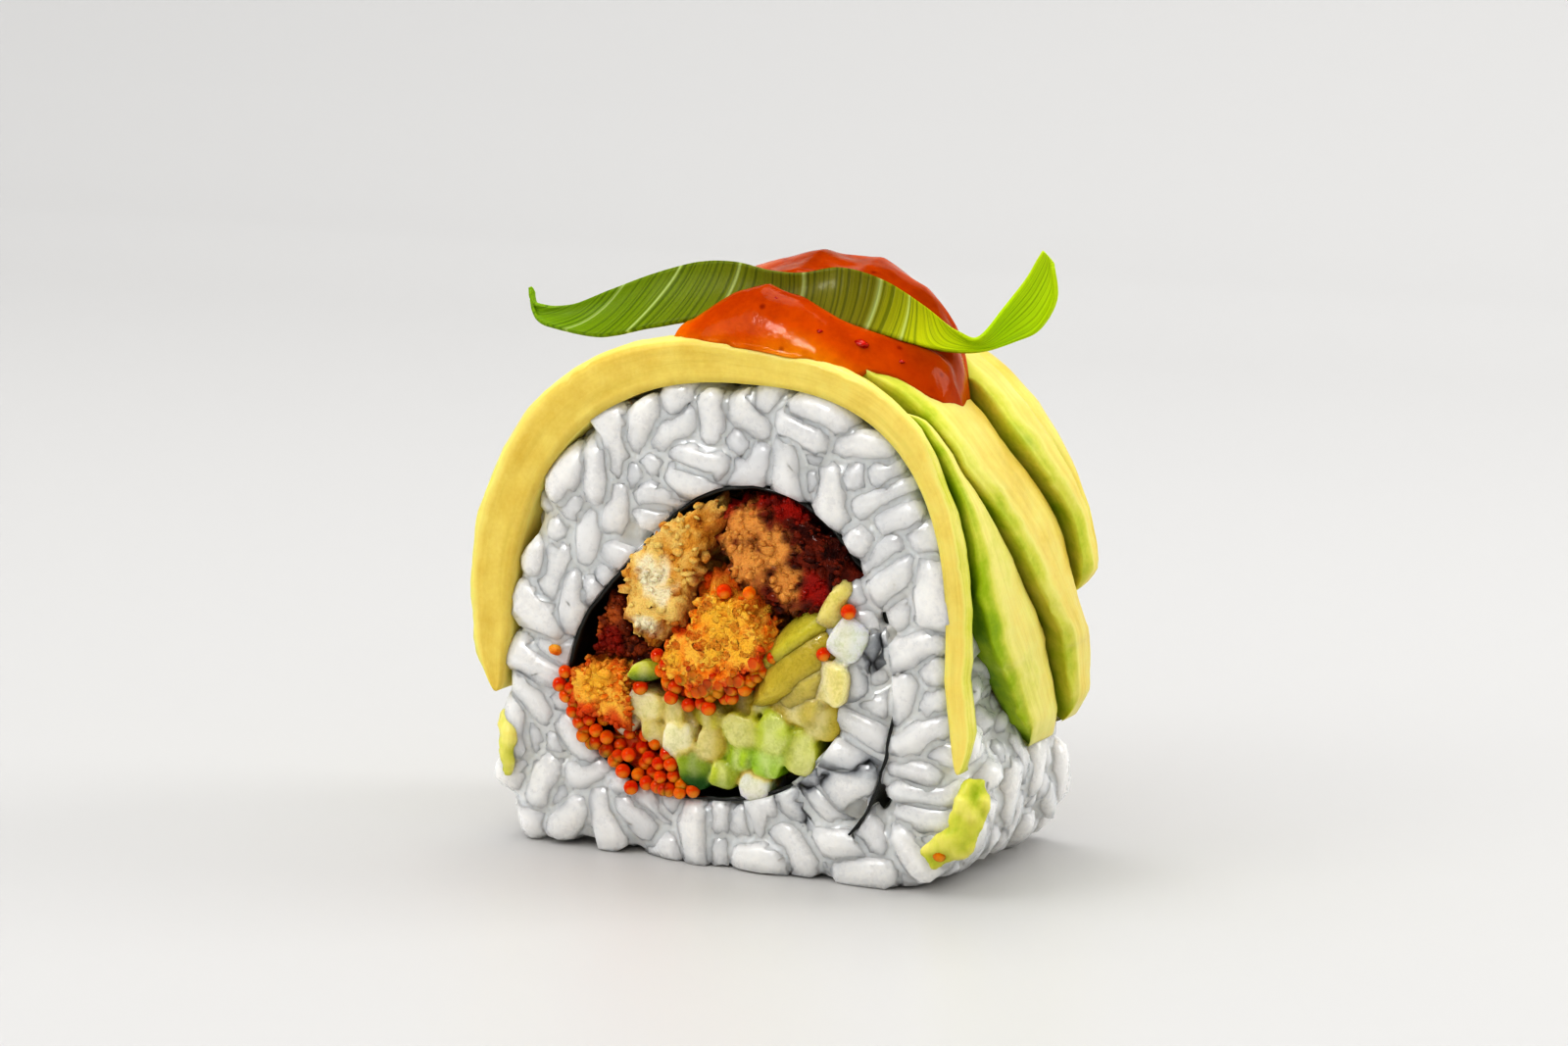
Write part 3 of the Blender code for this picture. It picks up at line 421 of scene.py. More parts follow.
def grain_shape(seed):
    """One plump cooked grain along Z, with a flattened belly, a nicked germ end and faint grooves."""
    draw = random.Random(seed)
    bpy.ops.mesh.primitive_uv_sphere_add(segments=12, ring_count=9, radius=0.5)
    shape = bpy.context.object
    bend = draw.uniform(-0.05, 0.09)
    plump = draw.uniform(0.94, 1.05)
    nick = draw.uniform(0.10, 0.24)
    for v in shape.data.vertices:
        x, y, z = v.co * 2
        around = math.atan2(y, x)
        fuller = (1 - abs(z) ** 2.7) ** 0.5 / max(1e-6, (1 - min(1, z * z)) ** 0.5) if abs(z) < 0.999 else 1
        swell = plump * min(1.25, fuller) * (1 - 0.10 * z)
        groove = 1 - 0.035 * math.cos(3 * around + seed)
        x, y = x * swell * groove, y * swell * groove * 0.9
        x += bend * z * z
        if z > 0.55 and x > 0:
            x -= nick * (z - 0.55) * 1.6
            z -= nick * x * 0.9
        rough = noise.noise(Vector((x, y, z)) * 1.3 + Vector((seed * 3.1, 0, 0)))
        x, y, z = x * (1 + 0.30 * rough), y * (1 + 0.30 * rough), z * (1 + 0.10 * rough)
        v.co = (x * GRAIN_WIDTH / 2, y * GRAIN_WIDTH / 2, z * GRAIN_LENGTH / 2)
    return shape


def mesh_arrays(shape):
    """A mesh as arrays of its points and of its faces, and then the mesh is thrown away."""
    points = np.array([v.co for v in shape.data.vertices])
    faces = [list(p.vertices) for p in shape.data.polygons]
    bpy.data.objects.remove(shape)
    return points, faces


def to_segments(spots, start, end):
    """The nearest points of segments to spots."""
    run = end - start
    share = np.einsum("ijk,ik->ij", spots - start[:, None], run) / np.einsum("ij,ij->i", run, run)[:, None]
    return start[:, None] + run[:, None] * np.clip(share, 0, 1)[..., None]


def beside_nori(points, ends):
    """Grains that touch the seaweed, flattened against it so that they stay on their own side."""
    run = np.gradient(nori_points, axis=0)
    run /= np.linalg.norm(run, axis=1, keepdims=True)
    outward = np.stack([-run[:, 1], run[:, 0]], axis=1)
    centres = ends.mean(axis=1)[:, [0, 2]]
    for k, centre in enumerate(centres):
        away = np.linalg.norm(nori_points - centre, axis=1)
        if away.min() > NORI_REACH:
            continue
        nearest = away.argmin()
        side = np.sign((centre - nori_points[nearest]) @ outward[nearest])
        spots = points[k][:, [0, 2]]
        close = np.linalg.norm(spots[:, None] - nori_points[None], axis=2).argmin(axis=1)
        height = np.einsum("ij,ij->i", spots - nori_points[close], outward[close]) * side
        # The ends of the sheet press on nothing.
        beside = (close > 0) & (close < len(nori_points) - 1)
        lift = np.where(beside, np.maximum(0, NORI_CLEAR - height), 0)
        points[k][:, [0, 2]] += outward[close] * (side * lift)[:, None]
    return points


def pressed(points, ends):
    """Grains flattened where they meet: no point lies nearer to a neighbour's middle line than to its own."""
    middle = ends.mean(axis=1)
    first, second = np.triu_indices(len(ends), 1)
    close = np.linalg.norm(middle[first] - middle[second], axis=1) < GRAIN_LENGTH + 1.2 * MM
    first, second = first[close], second[close]
    pairs = np.stack([np.concatenate([first, second]), np.concatenate([second, first])])
    order = np.argsort(pairs[0], kind="stable")
    one, other = pairs[:, order]
    starts = np.searchsorted(one, np.arange(len(ends)))
    for _ in range(PRESSING_ROUNDS):
        axis = to_segments(points, ends[:, 0], ends[:, 1])
        own = np.linalg.norm(points - axis, axis=2)
        theirs = to_segments(points[one], ends[other, 0], ends[other, 1])
        reach = np.linalg.norm(points[one] - theirs, axis=2) - GRAIN_CREASE
        nearest = np.minimum.reduceat(reach, starts, axis=0)
        shrink = np.where(own > nearest, 0.5 + 0.5 * np.maximum(nearest, 0.3 * MM) / own, 1)
        points = axis + (points - axis) * shrink[..., None]
    return points


def piece_from(name, points, faces, marks, finish):
    """An object from arrays of points and faces, with its values at the points kept as attributes."""
    mesh = bpy.data.meshes.new(name)
    mesh.from_pydata(np.asarray(points).tolist(), [], faces)
    for label, values in marks.items():
        layer = mesh.attributes.new(label, "FLOAT", "POINT")
        layer.data.foreach_set("value", np.asarray(values, dtype=np.float32))
    build = bmesh.new()
    build.from_mesh(mesh)
    bmesh.ops.recalc_face_normals(build, faces=build.faces[:])
    build.to_mesh(mesh)
    build.free()
    mesh.shade_smooth()
    mesh.materials.append(finish)
    piece = bpy.data.objects.new(name, mesh)
    bpy.context.scene.collection.objects.link(piece)
    return piece


def mottle_group():
    """Soft blotches over fine speckle, for every food surface: a mask and a height."""
    group = bpy.data.node_groups.new("mottle", "ShaderNodeTree")
    for label, default in (("Blotch Scale", 300.0), ("Speckle Scale", 2500.0), ("Speckle Share", 0.3)):
        socket = group.interface.new_socket(label, in_out="INPUT", socket_type="NodeSocketFloat")
        socket.default_value = default
    group.interface.new_socket("Mask", in_out="OUTPUT", socket_type="NodeSocketFloat")
    group.interface.new_socket("Height", in_out="OUTPUT", socket_type="NodeSocketFloat")
    entry = add_node(group, "NodeGroupInput")
    leave = add_node(group, "NodeGroupOutput")
    where = add_node(group, "ShaderNodeTexCoord")
    blotch = add_node(group, "ShaderNodeTexNoise", values={"Detail": 3.0, "Roughness": 0.55})
    speckle = add_node(group, "ShaderNodeTexNoise", values={"Detail": 2.0, "Roughness": 0.6})
    mix = add_node(group, "ShaderNodeMix")
    link = group.links.new
    link(where.outputs["Object"], blotch.inputs["Vector"])
    link(where.outputs["Object"], speckle.inputs["Vector"])
    link(entry.outputs["Blotch Scale"], blotch.inputs["Scale"])
    link(entry.outputs["Speckle Scale"], speckle.inputs["Scale"])
    link(entry.outputs["Speckle Share"], mix.inputs["Factor"])
    link(blotch.outputs["Fac"], mix.inputs["A"])
    link(speckle.outputs["Fac"], mix.inputs["B"])
    link(mix.outputs["Result"], leave.inputs["Mask"])
    link(speckle.outputs["Fac"], leave.inputs["Height"])
    return group


mottle = mottle_group()


def place_mottle(tree, blotch, speckle, share):
    """The mottle group placed in a material with its own scales."""
    node = add_node(tree, "ShaderNodeGroup", node_tree=mottle)
    node.inputs["Blotch Scale"].default_value = blotch
    node.inputs["Speckle Scale"].default_value = speckle
    node.inputs["Speckle Share"].default_value = share
    return node


def ramp(tree, source, stops):
    """A colour ramp over a source socket: stops are pairs of a place and a colour."""
    node = add_node(tree, "ShaderNodeValToRGB")
    elements = node.color_ramp.elements
    while len(elements) < len(stops):
        elements.new(0.5)
    for element, (spot, colour) in zip(elements, stops):
        element.position = spot
        element.color = (*colour, 1)
    tree.links.new(source, node.inputs["Fac"])
    return node.outputs["Color"]


def bump(tree, shader, height, strength, distance):
    """Low relief from a height socket."""
    node = add_node(tree, "ShaderNodeBump", values={"Strength": strength, "Distance": distance})
    tree.links.new(height, node.inputs["Height"])
    tree.links.new(node.outputs["Normal"], shader.inputs["Normal"])
    return node


def blend_colour(tree, factor, first, second, way="MIX"):
    """Two colours mixed by a factor; each may be a socket or a plain colour."""
    node = add_node(tree, "ShaderNodeMix", data_type="RGBA", blend_type=way)
    for key, value in ((0, factor), (6, first), (7, second)):
        if isinstance(value, bpy.types.NodeSocket):
            tree.links.new(value, node.inputs[key])
        elif key:
            node.inputs[key].default_value = (*value, 1)
        else:
            node.inputs[key].default_value = value
    return node.outputs[2]


def attribute(tree, name):
    """The values that the points of a piece carry under a name."""
    return add_node(tree, "ShaderNodeAttribute", attribute_name=name).outputs["Fac"]


def scaled(tree, source, share):
    """A value socket times a constant."""
    node = add_node(tree, "ShaderNodeMath", operation="MULTIPLY")
    tree.links.new(source, node.inputs[0])
    node.inputs[1].default_value = share
    return node.outputs[0]


def rice_finish():
    """Steamed starch: milky at the heart of a grain, glassy and bluish towards its ends, with painted light
    whitening the edges turned from view.
    """
    finish, tree, shader = principled(
        "cooked_rice",
        0.26,
        subsurface_weight=1.0,
        subsurface_scale=0.0030,
        specular_ior_level=0.5,
        coat_weight=0.3,
        coat_roughness=0.1,
    )
    shader.inputs["Subsurface Radius"].default_value = (1.0, 0.95, 0.9)
    spots = place_mottle(tree, 420.0, 1900.0, 0.4)
    # The fused mass between the grains has no tone and takes the first, whitest colour: partly its own milky
    # starch, partly painted light that lightens the gaps between the grains.
    glassy = ramp(
        tree,
        attribute(tree, "tone"),
        ((0.0, paint(254, 249, 238)), (0.2, paint(216, 215, 214)), (1.0, paint(241, 236, 228))),
    )
    milky = ramp(tree, spots.outputs["Mask"], ((0.36, paint(222, 219, 215)), (0.6, paint(242, 237, 228))))
    colour = blend_colour(tree, attribute(tree, "heart"), glassy, milky)
    # Painted light: edges turned away from the view are blended towards white, standing in for light shining
    # through the thin rims of the grains.
    rim = add_node(tree, "ShaderNodeLayerWeight", values={"Blend": 0.35})
    colour = blend_colour(tree, scaled(tree, rim.outputs["Facing"], 0.7), colour, paint(250, 249, 245))
    tree.links.new(colour, shader.inputs["Base Color"])
    wetness = {"From Min": 0.35, "From Max": 0.65, "To Min": 0.2, "To Max": 0.42}
    wet = add_node(tree, "ShaderNodeMapRange", values=wetness)
    tree.links.new(spots.outputs["Mask"], wet.inputs["Value"])
    tree.links.new(wet.outputs["Result"], shader.inputs["Roughness"])
    bump(tree, shader, spots.outputs["Mask"], 0.4, 0.0003)
    return finish


def read_mesh(piece):
    """The points and normals of a mesh as arrays, and its faces as lists."""
    mesh = piece.data
    points = np.empty(len(mesh.vertices) * 3)
    normals = np.empty(len(mesh.vertices) * 3)
    mesh.vertices.foreach_get("co", points)
    mesh.vertex_normals.foreach_get("vector", normals)
    faces = [list(face.vertices) for face in mesh.polygons]
    return points.reshape(-1, 3), normals.reshape(-1, 3), faces


def own_copy(node, name):
    """A copy of a CAD node's mesh under a new name, with its loose triangles merged."""
    piece = bpy.data.objects.new(name, frame["nodes"][node].data.copy())
    bpy.context.scene.collection.objects.link(piece)
    build = bmesh.new()
    build.from_mesh(piece.data)
    bmesh.ops.remove_doubles(build, verts=build.verts[:], dist=0.005 * MM)
    build.to_mesh(piece.data)
    build.free()
    piece.data.materials.clear()
    return piece


def keep(piece, kind, **settings):
    """Adds a modifier with its settings and applies it."""
    bpy.ops.object.select_all(action="DESELECT")
    piece.select_set(True)
    bpy.context.view_layer.objects.active = piece
    change = piece.modifiers.new(kind.title(), kind)
    for key, value in settings.items():
        setattr(change, key, value)
    bpy.ops.object.modifier_apply(modifier=change.name)


def put(piece, *nodes, slot):
    """Every piece rides on the one body and stands for its solids."""
    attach(piece, "root")
    if nodes:
        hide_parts(*nodes)


def pressed_grains(ends, seed):
    """Every grain's own mesh: a plump shape along its line, then pressed by the others and by the knife."""
    draw = random.Random(seed)
    shapes = [mesh_arrays(grain_shape(k)) for k in range(1, 7)]
    points = []
    for near_end, far_end in ends:
        along = Vector(far_end - near_end) * (1 if draw.random() < 0.5 else -1)
        roll = Matrix.Rotation(draw.uniform(0, 2 * math.pi), 3, "Z")
        turn = along.to_track_quat("Z", "Y").to_matrix() @ roll
        size, flat = draw.uniform(*GRAIN_SIZES), draw.uniform(0.84, 1.0)
        turn = turn @ Matrix.Diagonal((size / flat, size * flat, size * draw.uniform(0.86, 1.06)))
        points.append(shapes[draw.randrange(len(shapes))][0] @ np.array(turn).T + (near_end + far_end) / 2)
    points = beside_nori(pressed(np.array(points), ends), ends)
    beyond = np.maximum(0, np.abs(points[..., 1]) - KNIFE_DEPTH)
    points[..., 1] -= np.sign(points[..., 1]) * beyond * KNIFE_PRESS
    count = points.shape[1]
    faces = [[i + k * count for i in face] for k in range(len(ends)) for face in shapes[0][1]]
    heart = np.tile(1 - np.linspace(1, -1, count) ** 2, len(ends))
    tone = np.repeat([draw.uniform(0.2, 1) for _ in ends], count)
    points[..., 2] = np.maximum(points[..., 2], LOWEST_RICE)
    return points.reshape(-1, 3), faces, {"heart": heart, "tone": tone}


grain_points, grain_faces, grain_marks = pressed_grains(settled_grains(11), 3)
cooked_rice = rice_finish()
rice_grains = piece_from("rice_grains", grain_points, grain_faces, grain_marks, cooked_rice)
put(rice_grains, "rice", slot="rice")

# Between the grains lies the sticky mass that they have become: core and grains fused and smoothed.
rice_core = own_copy("rice", "rice_core")
keep(rice_core, "DISPLACE", strength=-MASS_INSET, mid_level=0)
fused_grains = piece_from("fused_grains", grain_points, grain_faces, {}, cooked_rice)
bpy.ops.object.select_all(action="DESELECT")
fused_grains.select_set(True)
rice_core.select_set(True)
bpy.context.view_layer.objects.active = rice_core
bpy.ops.object.join()
keep(rice_core, "REMESH", mode="VOXEL", voxel_size=FUSED_VOXEL)
keep(rice_core, "SMOOTH", factor=0.5, iterations=3)
keep(rice_core, "DISPLACE", strength=-MASS_SINK, mid_level=0)
rice_core.data.shade_smooth()
rice_core.data.materials.clear()
rice_core.data.materials.append(cooked_rice)
put(rice_core, "rice", slot="rice")

# The seaweed
# One toasted sheet of nori, wound once round the filling and a little further out through the rice. It
# has gone soft and wavy where the wet grains press on it, and it is held by them alone.
NORI_THICKNESS = 0.3 * MM
NORI_DEPTH = 23.4 * MM


def slab(name, top, bottom, marks, finish):
    """A closed sheet between two grids of points. Marks are grids of values, kept as attributes."""
    rows, columns = top.shape[:2]
    index = np.arange(rows * columns).reshape(rows, columns)
    under = rows * columns
    quads = np.stack([index[:-1, :-1], index[1:, :-1], index[1:, 1:], index[:-1, 1:]], axis=-1).reshape(-1, 4)
    faces = quads.tolist() + (quads[:, ::-1] + under).tolist()
    edge = np.concatenate([index[:, 0], index[-1, 1:], index[-2::-1, -1], index[0, -2:0:-1]])
    following = np.roll(edge, -1)
    faces += np.stack([following, edge, edge + under, following + under], axis=-1).tolist()
    points = np.concatenate([top.reshape(-1, 3), bottom.reshape(-1, 3)])
    marks = {label: np.concatenate([grid.ravel(), grid.ravel()]) for label, grid in marks.items()}
    return piece_from(name, points, faces, marks, finish)


def wave(point, pitch, seed):
    """Smooth noise about zero at a point, for bumps of that pitch."""
    return noise.noise(Vector(point) / pitch + Vector((seed * 7.3, seed * 1.9, 0)))


def nori_finish():
    """Pressed seaweed: near black with a green cast, crumpled and shiny where it is wet."""
    finish, tree, shader = principled("nori", 0.32, specular_ior_level=0.55, coat_weight=0.35)
    spots = place_mottle(tree, 900.0, 5200.0, 0.5)
    greens = ((0.3, paint(9, 11, 9)), (0.6, paint(24, 28, 20)), (0.8, paint(48, 50, 34)))
    tree.links.new(ramp(tree, spots.outputs["Mask"], greens), shader.inputs["Base Color"])
    bump(tree, shader, spots.outputs["Mask"], 0.6, 0.0003)
    return finish


nori_middle = nori_line(300)
nori_run = np.gradient(nori_middle, axis=0)
nori_run /= np.linalg.norm(nori_run, axis=1, keepdims=True)
nori_outward = np.stack([-nori_run[:, 1], nori_run[:, 0]], axis=1)
nori_sides = []
for side in (0.5, -0.5):
    grid = []
    for share, spot, outward in zip(np.linspace(0, 1, len(nori_middle)), nori_middle, nori_outward):
        row = []
        # The front edge lies back behind the grains at the upper right and stands out along the tail.
        front = 1.1 * smooth_step(0.79, 0.82, share) * smooth_step(0.915, 0.90, share)
        front -= 0.6 * smooth_step(0.90, 0.92, share)
        for y in np.linspace(-NORI_DEPTH / 2 + front * MM, NORI_DEPTH / 2, 29):
            thick = NORI_THICKNESS * (1 - 0.4 * smooth_step(0.88, 0.93, share))
            lift = side * thick + 0.16 * MM * wave((spot[0], y, spot[1]), 1.7 * MM, 3)
            frayed = 0.25 * MM * wave((spot[0], 0, spot[1]), 1.1 * MM, 5) * (abs(y) > 11 * MM)
            x, z = spot + outward * lift
            row.append((x, y - math.copysign(abs(frayed), y), z))
        grid.append(row)
    nori_sides.append(np.array(grid))
nori = slab("nori_sheet", nori_sides[0], nori_sides[1], {}, nori_finish())
put(nori, "nori", slot="nori")

# The fried batter
# Five torn pieces of tempura batter, fried crisp and soaked with oil and roe: porous, ragged and
# crumbling, pale inside and browned at their edges. They lie loose in the seaweed, one on another.
# For each piece: its outline from the front as X and Z in millimetres, its glowing and its pale places with
# their radii, and how many crumbs lie on its front.
BATTER = {
    "batter_golden": (
        ((-2.6, 25.4), (0.2, 27.2), (2.7, 26.5), (5.4, 25.0), (6.9, 22.6), (6.6, 19.9), (3.8, 17.0))
        + ((0.0, 15.3), (-3.6, 15.4), (-6.4, 17.2), (-6.4, 19.4), (-3.6, 21.8)),
        ((-4.2, 15.6, 1.9), (-1.6, 15.4, 2.0), (1.4, 16.4, 1.9), (3.8, 18.0, 1.7))
        + ((5.4, 20.0, 1.3), (-4.0, 22.7, 1.3)),
        ((1.2, 23.6, 2.6), (-4.4, 19.4, 1.2), (3.2, 21.2, 1.8), (0.2, 20.4, 1.2)),
        330,
    ),
    "batter_pale": (
        ((-9.8, 20.9), (-11.0, 25.0), (-9.6, 29.0), (-6.2, 32.6), (-2.4, 34.8), (-0.3, 35.2), (-0.2, 31.6))
        + ((-1.0, 28.0), (-2.6, 24.6), (-3.9, 21.8), (-6.6, 19.8)),
        (),
        ((-6.1, 27.3, 1.8), (-7.1, 22.2, 1.2), (-5.4, 25.2, 1.1)),
        130,
    ),
    "batter_brown": (
        ((-0.3, 35.4), (4.2, 35.9), (9.4, 34.8), (13.2, 32.0), (15.6, 27.6), (15.6, 24.6), (13.2, 24.0))
        + ((10.6, 23.8), (7.8, 23.0), (5.2, 24.6), (2.4, 26.4), (-0.6, 27.6), (-0.6, 31.0)),
        ((4.2, 35.6, 1.8), (0.6, 34.2, 1.8), (7.6, 34.6, 1.8), (10.0, 27.0, 1.5)),
        ((3.4, 28.8, 2.7), (3.1, 32.4, 2.1), (5.6, 30.4, 1.8), (0.9, 30.9, 1.1), (7.2, 27.4, 1.6)),
        260,
    ),
    "batter_corner": (
        ((-15.3, 12.9), (-15.6, 15.6), (-14.4, 17.9), (-12.0, 18.4), (-9.0, 18.0), (-8.0, 15.4), (-9.6, 12.7))
        + ((-13.0, 12.1),),
        ((-13.4, 12.6, 2.0), (-10.6, 12.6, 1.6), (-15.4, 14.4, 1.2)),
        ((-12.6, 16.4, 1.6),),
        150,
    ),
    "batter_dark": (
        ((-14.6, 18.4), (-14.2, 21.8), (-12.4, 25.2), (-10.0, 25.4), (-9.0, 21.0), (-6.4, 19.6), (-5.9, 17.2))
        + ((-8.0, 16.6), (-9.6, 17.6), (-12.0, 18.2)),
        ((-11.8, 20.2, 1.6),),
        ((-11.5, 22.4, 1.0), (-13.0, 21.0, 0.8)),
        90,
    ),
}
# For each piece: the colours of its pits as painted shade, its body, its peaks as painted light, its pale
# places, glowing places and edge, and how wet it is.
BATTER_COLOURS = {
    "batter_golden": (
        ((184, 52, 0), (250, 130, 0), (255, 196, 78), (255, 192, 62))
        + ((234, 48, 0), (222, 82, 0), 0.6)
    ),
    "batter_pale": (
        ((160, 80, 10), (228, 162, 62), (246, 208, 124), (255, 242, 206))
        + ((214, 58, 6), (180, 92, 10), 0.3)
    ),
    "batter_brown": (
        ((22, 2, 0), (66, 12, 1), (124, 40, 8), (244, 172, 88))
        + ((176, 18, 0), (44, 5, 1), 0.7)
    ),
    "batter_corner": (
        ((176, 54, 0), (242, 122, 4), (255, 190, 78), (255, 190, 64))
        + ((220, 50, 0), (208, 76, 2), 0.5)
    ),
    "batter_dark": (
        ((18, 3, 1), (66, 14, 4), (138, 60, 18), (196, 104, 40))
        + ((150, 20, 2), (36, 6, 2), 0.6)
    ),
}
# Each size of roughness: its pitch and height in millimetres, and whether it makes ridges
CRAG_WAVES = ((3.6, 0.50, False), (1.5, 0.40, True), (0.8, 0.26, True), (0.45, 0.12, False))
RAGGED_EDGE = 2.3 * MM
BATTER_VOXEL = 0.34 * MM
BATTER_FRONT = -13.58 * MM
BATTER_BACK = 13.0 * MM
CRUMB_KINDS = 5


def batter_finish(name, pit_shade_colour, body, peak_light_colour, pale, glow, edge, wet):
    """Fried batter: painted shade in its pits and painted light on its peaks, darker at its edges, with paler
    and redder places, and oily.
    """
    finish, tree, shader = principled(
        name,
        0.5,
        subsurface_weight=0.2,
        subsurface_scale=0.0011,
        coat_weight=wet * 0.3,
        coat_roughness=0.12,
        specular_ior_level=0.15,
    )
    shader.inputs["Subsurface Radius"].default_value = (1.0, 0.45, 0.2)
    spots = place_mottle(tree, 1300.0, 5200.0, 0.45)
    # Painted shade and light: low relief takes the pit colour and high relief the peak colour, and the pale
    # places are darkened in their dents.
    relief = blend_colour(tree, 0.28, attribute(tree, "crag"), spots.outputs["Mask"])
    colour = ramp(tree, relief, ((0.22, paint(*pit_shade_colour)), (0.42, paint(*body)), (0.68, paint(*peak_light_colour))))
    painted_pit_shade = ramp(tree, relief, ((0.24, (0.82, 0.6, 0.34)), (0.44, (1, 1, 1))))
    lighter = blend_colour(tree, 0.85, paint(*pale), painted_pit_shade, "MULTIPLY")
    colour = blend_colour(tree, scaled(tree, attribute(tree, "pale"), 0.9), colour, lighter)
    colour = blend_colour(tree, scaled(tree, attribute(tree, "glow"), 0.8), colour, paint(*glow))
    colour = blend_colour(tree, scaled(tree, attribute(tree, "edge"), 0.75), colour, paint(*edge))
    speckle = ramp(tree, spots.outputs["Height"], ((0.36, (0.7, 0.56, 0.42)), (0.5, (1, 1, 1))))
    colour = blend_colour(tree, 0.4, colour, speckle, "MULTIPLY")
    tree.links.new(colour, shader.inputs["Base Color"])
    bump(tree, shader, spots.outputs["Height"], 0.8, 0.00035)
    return finish


def nearness(points, spots):
    """How near points lie to a set of spots, each an X, a Z and a radius in millimetres, from 0 to 1."""
    found = np.zeros(len(points))
    for x, z, radius in spots:
        away = np.hypot(points[:, 0] / MM - x, points[:, 2] / MM - z) / radius
        found = np.maximum(found, np.exp(-(away**2) * 0.9))
    return found


def outline_share(points, corners):
    """How far out each point lies in an outline seen from the front: 0 in the middle, 1 at the edge."""
    corners = np.array(corners) * MM
    middle = corners.mean(axis=0)
    away = corners - middle
    turns = np.arctan2(away[:, 1], away[:, 0])
    order = np.argsort(turns)
    reach = np.linalg.norm(away, axis=1)[order]
    turns = turns[order]
    turns = np.concatenate([turns[-1:] - 2 * math.pi, turns, turns[:1] + 2 * math.pi])
    reach = np.concatenate([reach[-1:], reach, reach[:1]])
    spots = points[:, [0, 2]] - middle
    return np.linalg.norm(spots, axis=1) / np.interp(np.arctan2(spots[:, 1], spots[:, 0]), turns, reach)


def lump_shape(seed):
    """One crumb about two units across: a ball with deep dents."""
    bpy.ops.mesh.primitive_ico_sphere_add(subdivisions=2, radius=1)
    shape = bpy.context.object
    for v in shape.data.vertices:
        dent = noise.noise(v.co * 1.1 + Vector((seed * 5.1, 0, 0))) + 0.5 * noise.noise(v.co * 2.7)
        v.co *= 0.86 + 0.42 * dent
    return mesh_arrays(shape)


def craggy_batter(name, seed):
    """A fried piece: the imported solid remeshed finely, roughened in four sizes and strewn with crumbs."""
    corners, glow_spots, pale_spots, crumb_count = BATTER[name]
    start = own_copy(name, name + "_start")
    keep(start, "REMESH", mode="VOXEL", voxel_size=BATTER_VOXEL)
    points, normals, faces = read_mesh(start)
    bpy.data.objects.remove(start)
    crag = np.zeros(len(points))
    for number, (pitch, height, ridged) in enumerate(CRAG_WAVES):
        value = np.array([wave(point, pitch * MM, seed + number) for point in points])
        crag += height * ((0.34 - np.abs(value)) * 1.7 if ridged else value)
    points = points + normals * (crag * MM)[:, None]
    # The front was cut flat with the roll.
    flat = smooth_step(0.55, 1.0, -normals[:, 1]) * smooth_step(-10.5 * MM, -12 * MM, points[:, 1])
    level = np.percentile(points[:, 1], 3)
    points[:, 1] += (level - points[:, 1]) * 0.45 * flat
    # The outline seen from the front is torn in and out, alike through the whole depth.
    middle = np.array(corners).mean(axis=0) * MM
    away = points[:, [0, 2]] - middle
    torn = np.array([wave((x, y * 0.35, z), 2.1 * MM, seed + 9) for x, y, z in points])
    torn += 0.6 * np.array([wave((x, y * 0.5, z), 0.8 * MM, seed) for x, y, z in points])
    share = smooth_step(0.55, 1.0, outline_share(points, corners))
    outward = away / np.linalg.norm(away, axis=1)[:, None]
    points[:, [0, 2]] += outward * (share * (torn - 0.12) * RAGGED_EDGE)[:, None]
    # The relief height is kept for the finish, which paints shade into the pits and light onto the peaks.
    crag = np.clip(0.5 + crag * 0.75, 0, 1)
    draw = random.Random(seed)
    points, faces, crag = strewn(points, faces, crag, draw, crumb_count)
    points[:, 1] = np.clip(points[:, 1], BATTER_FRONT, BATTER_BACK)
    rough = np.array([wave(point, 1.1 * MM, 9) for point in points])
    edge = smooth_step(0.74, 1.04, outline_share(points, corners) + 0.35 * rough)
    marks = {
        "crag": crag,
        "edge": edge,
        "glow": smooth_step(0.25, 0.75, nearness(points, glow_spots) + 0.5 * rough),
        "pale": smooth_step(0.22, 0.72, nearness(points, pale_spots) + 0.5 * rough),
    }
    return piece_from(name + "_fried", points, faces, marks, batter_finish(name, *BATTER_COLOURS[name]))


def any_turn(draw):
    """A turn about X and then one about Z, both by chance."""
    about_x = Matrix.Rotation(draw.uniform(0, 6.3), 3, "X")
    return about_x @ Matrix.Rotation(draw.uniform(0, 6.3), 3, "Z")


def strewn(points, faces, crag, draw, count):
    """Adds crumbs that sit on the two faces of a piece."""
    all_points, all_faces, all_crag = [points], list(faces), [crag]
    start = len(points)
    for side in (-1, 1):
        outer = np.where(points[:, 1] * side > 11 * MM)[0]
        for _ in range(count if side < 0 else count // 2):
            spot = points[outer[draw.randrange(len(outer))]]
            lump_points, lump_faces = lumps[draw.randrange(len(lumps))]
            size = draw.uniform(0.2, 0.46) * MM * draw.choice((0.7, 0.9, 1.0, 1.5))
            turn = any_turn(draw)
            flake = np.array((draw.uniform(1.0, 1.4), draw.uniform(0.8, 1.1), draw.uniform(0.55, 0.9)))
            all_points.append((lump_points * flake) @ np.array(turn).T * size + spot)
            all_faces.extend([i + start for i in face] for face in lump_faces)
            # Each crumb runs from the pit colour to the peak colour along its own Z before it is turned:
            # painted shade and light.
            all_crag.append(np.clip(0.5 + 0.25 * lump_points[:, 2] + draw.uniform(-0.1, 0.35), 0, 1))
            start += len(lump_points)
    return np.concatenate(all_points), all_faces, np.concatenate(all_crag)


lumps = [lump_shape(seed) for seed in range(CRUMB_KINDS)]
for number, name in enumerate(BATTER):
    fried = craggy_batter(name, 11 + 6 * number)
    put(fried, name, slot="batter_brown" if name in ("batter_brown", "batter_dark") else "batter")

